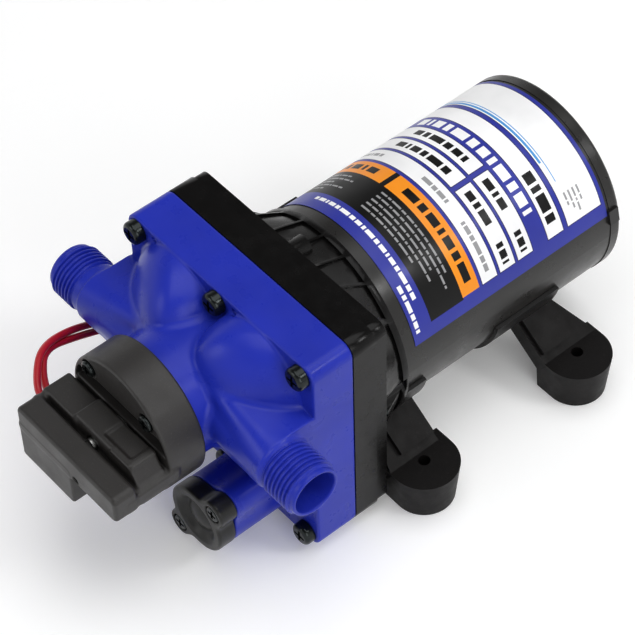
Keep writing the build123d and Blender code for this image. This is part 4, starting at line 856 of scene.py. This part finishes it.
def label_patches():
    """Front, back, lowest and highest angle and colour; a later one covers the earlier."""
    patches = [(LABEL_FRONT, LABEL_BACK, LABEL_LOW, LABEL_HIGH, "blue")]

    def cell(front, back, low, high, kind):
        """A cell with a navy line round it."""
        patches.append((front - CELL_LINE, back + CELL_LINE, low - CELL_LINE_ANGLE,
                        high + CELL_LINE_ANGLE, "line"))
        patches.append((front, back, low, high, kind))

    def row(middle, height, start, end, kind, first=0, longer=1.0, gap=0.9):
        """Bars of changing length, one behind the other from start down to end."""
        angle, step = start, first
        long = BAR_LENGTHS[step % len(BAR_LENGTHS)] * longer
        while angle - long > end:
            patches.append((middle - height / 2, middle + height / 2, angle - long, angle,
                            kind))
            angle -= long + gap
            step += 1
            long = BAR_LENGTHS[step % len(BAR_LENGTHS)] * longer

    # A dark field of grey lines, with an orange head over each of its two columns
    patches.append((62.8, 78.0, 22.5, 157.5, "black"))
    for low, high in ((23.6, 96.6), (100.0, 156.4)):
        patches.append((77.8, 85.6, low, high, "orange"))
        row(81.8, 3.2, high - 9, low + 6, "black", int(low) % 7, 1.5, 2.0)
        for line in range(5):
            end = low + (4 if line % 2 else 14) + 3 * line
            row(75.2 - 2.3 * line, 0.8, high - 2.5, end, "grey", line * 3)
    patches.append((77.8, 85.6, 96.6, 100.0, "black"))
    # A long white cell, and two rows of two cells
    cell(87.2, 94.0, 23.6, 156.4, "white")
    row(90.6, 1.8, 88, 66, "grey", 2)
    row(90.6, 1.8, 57, 26, "grey", 5)
    row(90.6, 1.8, 150, 118, "grey", 1)
    for front, back, divide in ((95.6, 102.6, 73.2), (104.2, 111.1, 73.6)):
        cell(front, back, 23.6, divide - 1.7, "white")
        cell(front, back, divide + 1.7, 156.4, "white")
        middle = (front + back) / 2
        row(middle, 3.0, divide - 5, 46, "black", int(front) % 5, 1.3, 1.6)
        row(middle, 3.0, 38, 26, "black", 3, 0.9, 1.4)
        row(middle, 3.0, 122, divide + 6, "black", int(back) % 7, 1.3, 1.6)
    # White bars on the blue, a cell of tall bars, and a large cell with two sky lines
    row(114.9, 4.0, 132, 38, "white", 4, 1.4, 2.2)
    cell(118.7, 126.0, 23.7, 156.3, "white")
    row(122.3, 4.2, 60, 28, "black", 0, 1.5, 1.8)
    cell(128.4, 144.4, 23.8, 156.2, "white")
    patches.append((128.9, 129.9, 60.0, 150.0, "sky"))
    patches.append((130.5, 130.9, 48.0, 150.0, "sky"))
    for line in range(4):
        row(131.5 + 2.0 * line, 0.8, 41, 27, "grey", line * 2)
    # Two rows of white bars along the front edge
    row(59.8, 1.7, 120, 36, "white", 3, 0.9, 1.0)
    row(56.6, 1.7, 48, 20, "white", 6, 0.9, 1.0)
    return patches


def marks(values, low, high, widest):
    """All the places where colours change, with more between them on wide stretches."""
    places = sorted(set(round(value, 3) for value in values) | {low, high})
    kept = [places[0]]
    for place in places[1:]:
        if place - kept[-1] < NARROWEST:
            continue
        parts = max(1, math.ceil((place - kept[-1]) / widest))
        start = kept[-1]
        kept += [start + (place - start) * (k + 1) / parts for k in range(parts)]
    return np.array(kept)


def make_label():
    """The label's film: a sheet with a colour for each cell of its grid, and low rims."""
    patches = label_patches()
    ys = marks([p for patch in patches for p in patch[:2]], LABEL_FRONT, LABEL_BACK,
               WIDEST_ALONG)
    angles = marks([p for patch in patches for p in patch[2:4]], LABEL_LOW, LABEL_HIGH,
                   WIDEST_ROUND)
    kinds = list(PRINTS)
    middle_y = (ys[1:] + ys[:-1]) / 2
    middle_angle = (angles[1:] + angles[:-1]) / 2
    print_of = np.zeros((len(middle_y), len(middle_angle)), np.int32)
    for front, back, low, high, kind in patches:
        rows = (middle_y > front) & (middle_y < back)
        columns = (middle_angle > low) & (middle_angle < high)
        print_of[np.ix_(rows, columns)] = kinds.index(kind)
    ring_y = np.concatenate([[ys[0]], ys, [ys[-1]]])
    ring_angle = np.radians(np.concatenate([[angles[0]], angles, [angles[-1]]]))
    tall, wide = len(ring_y), len(ring_angle)
    radius = np.full((tall, wide), LABEL_RADIUS)
    radius[[0, -1], :] = LABEL_UNDER
    radius[:, [0, -1]] = LABEL_UNDER
    across, up = np.cos(ring_angle)[None, :], np.sin(ring_angle)[None, :]
    none = np.zeros((tall, wide))
    points = np.stack([radius * across, ring_y[:, None] + none, radius * up], -1)
    normals = np.stack([across + none, none, up + none], -1)
    row, column = np.meshgrid(np.arange(tall - 1), np.arange(wide - 1), indexing="ij")
    first = row * wide + column
    faces = np.stack([first, first + 1, first + wide + 1, first + wide], -1)
    piece = add_mesh("label_film", points.reshape(-1, 3), faces.reshape(-1, 4)[:, ::-1],
                     PRINTS["blue"], "pump_body", ("motor_label",),
                     normals.reshape(-1, 3))
    for kind in kinds[1:]:
        piece.data.materials.append(PRINTS[kind])
    chosen = np.zeros((tall - 1, wide - 1), np.int32)
    chosen[1:-1, 1:-1] = print_of
    piece.data.polygons.foreach_set("material_index", chosen.ravel())
    piece.data.update()


make_label()
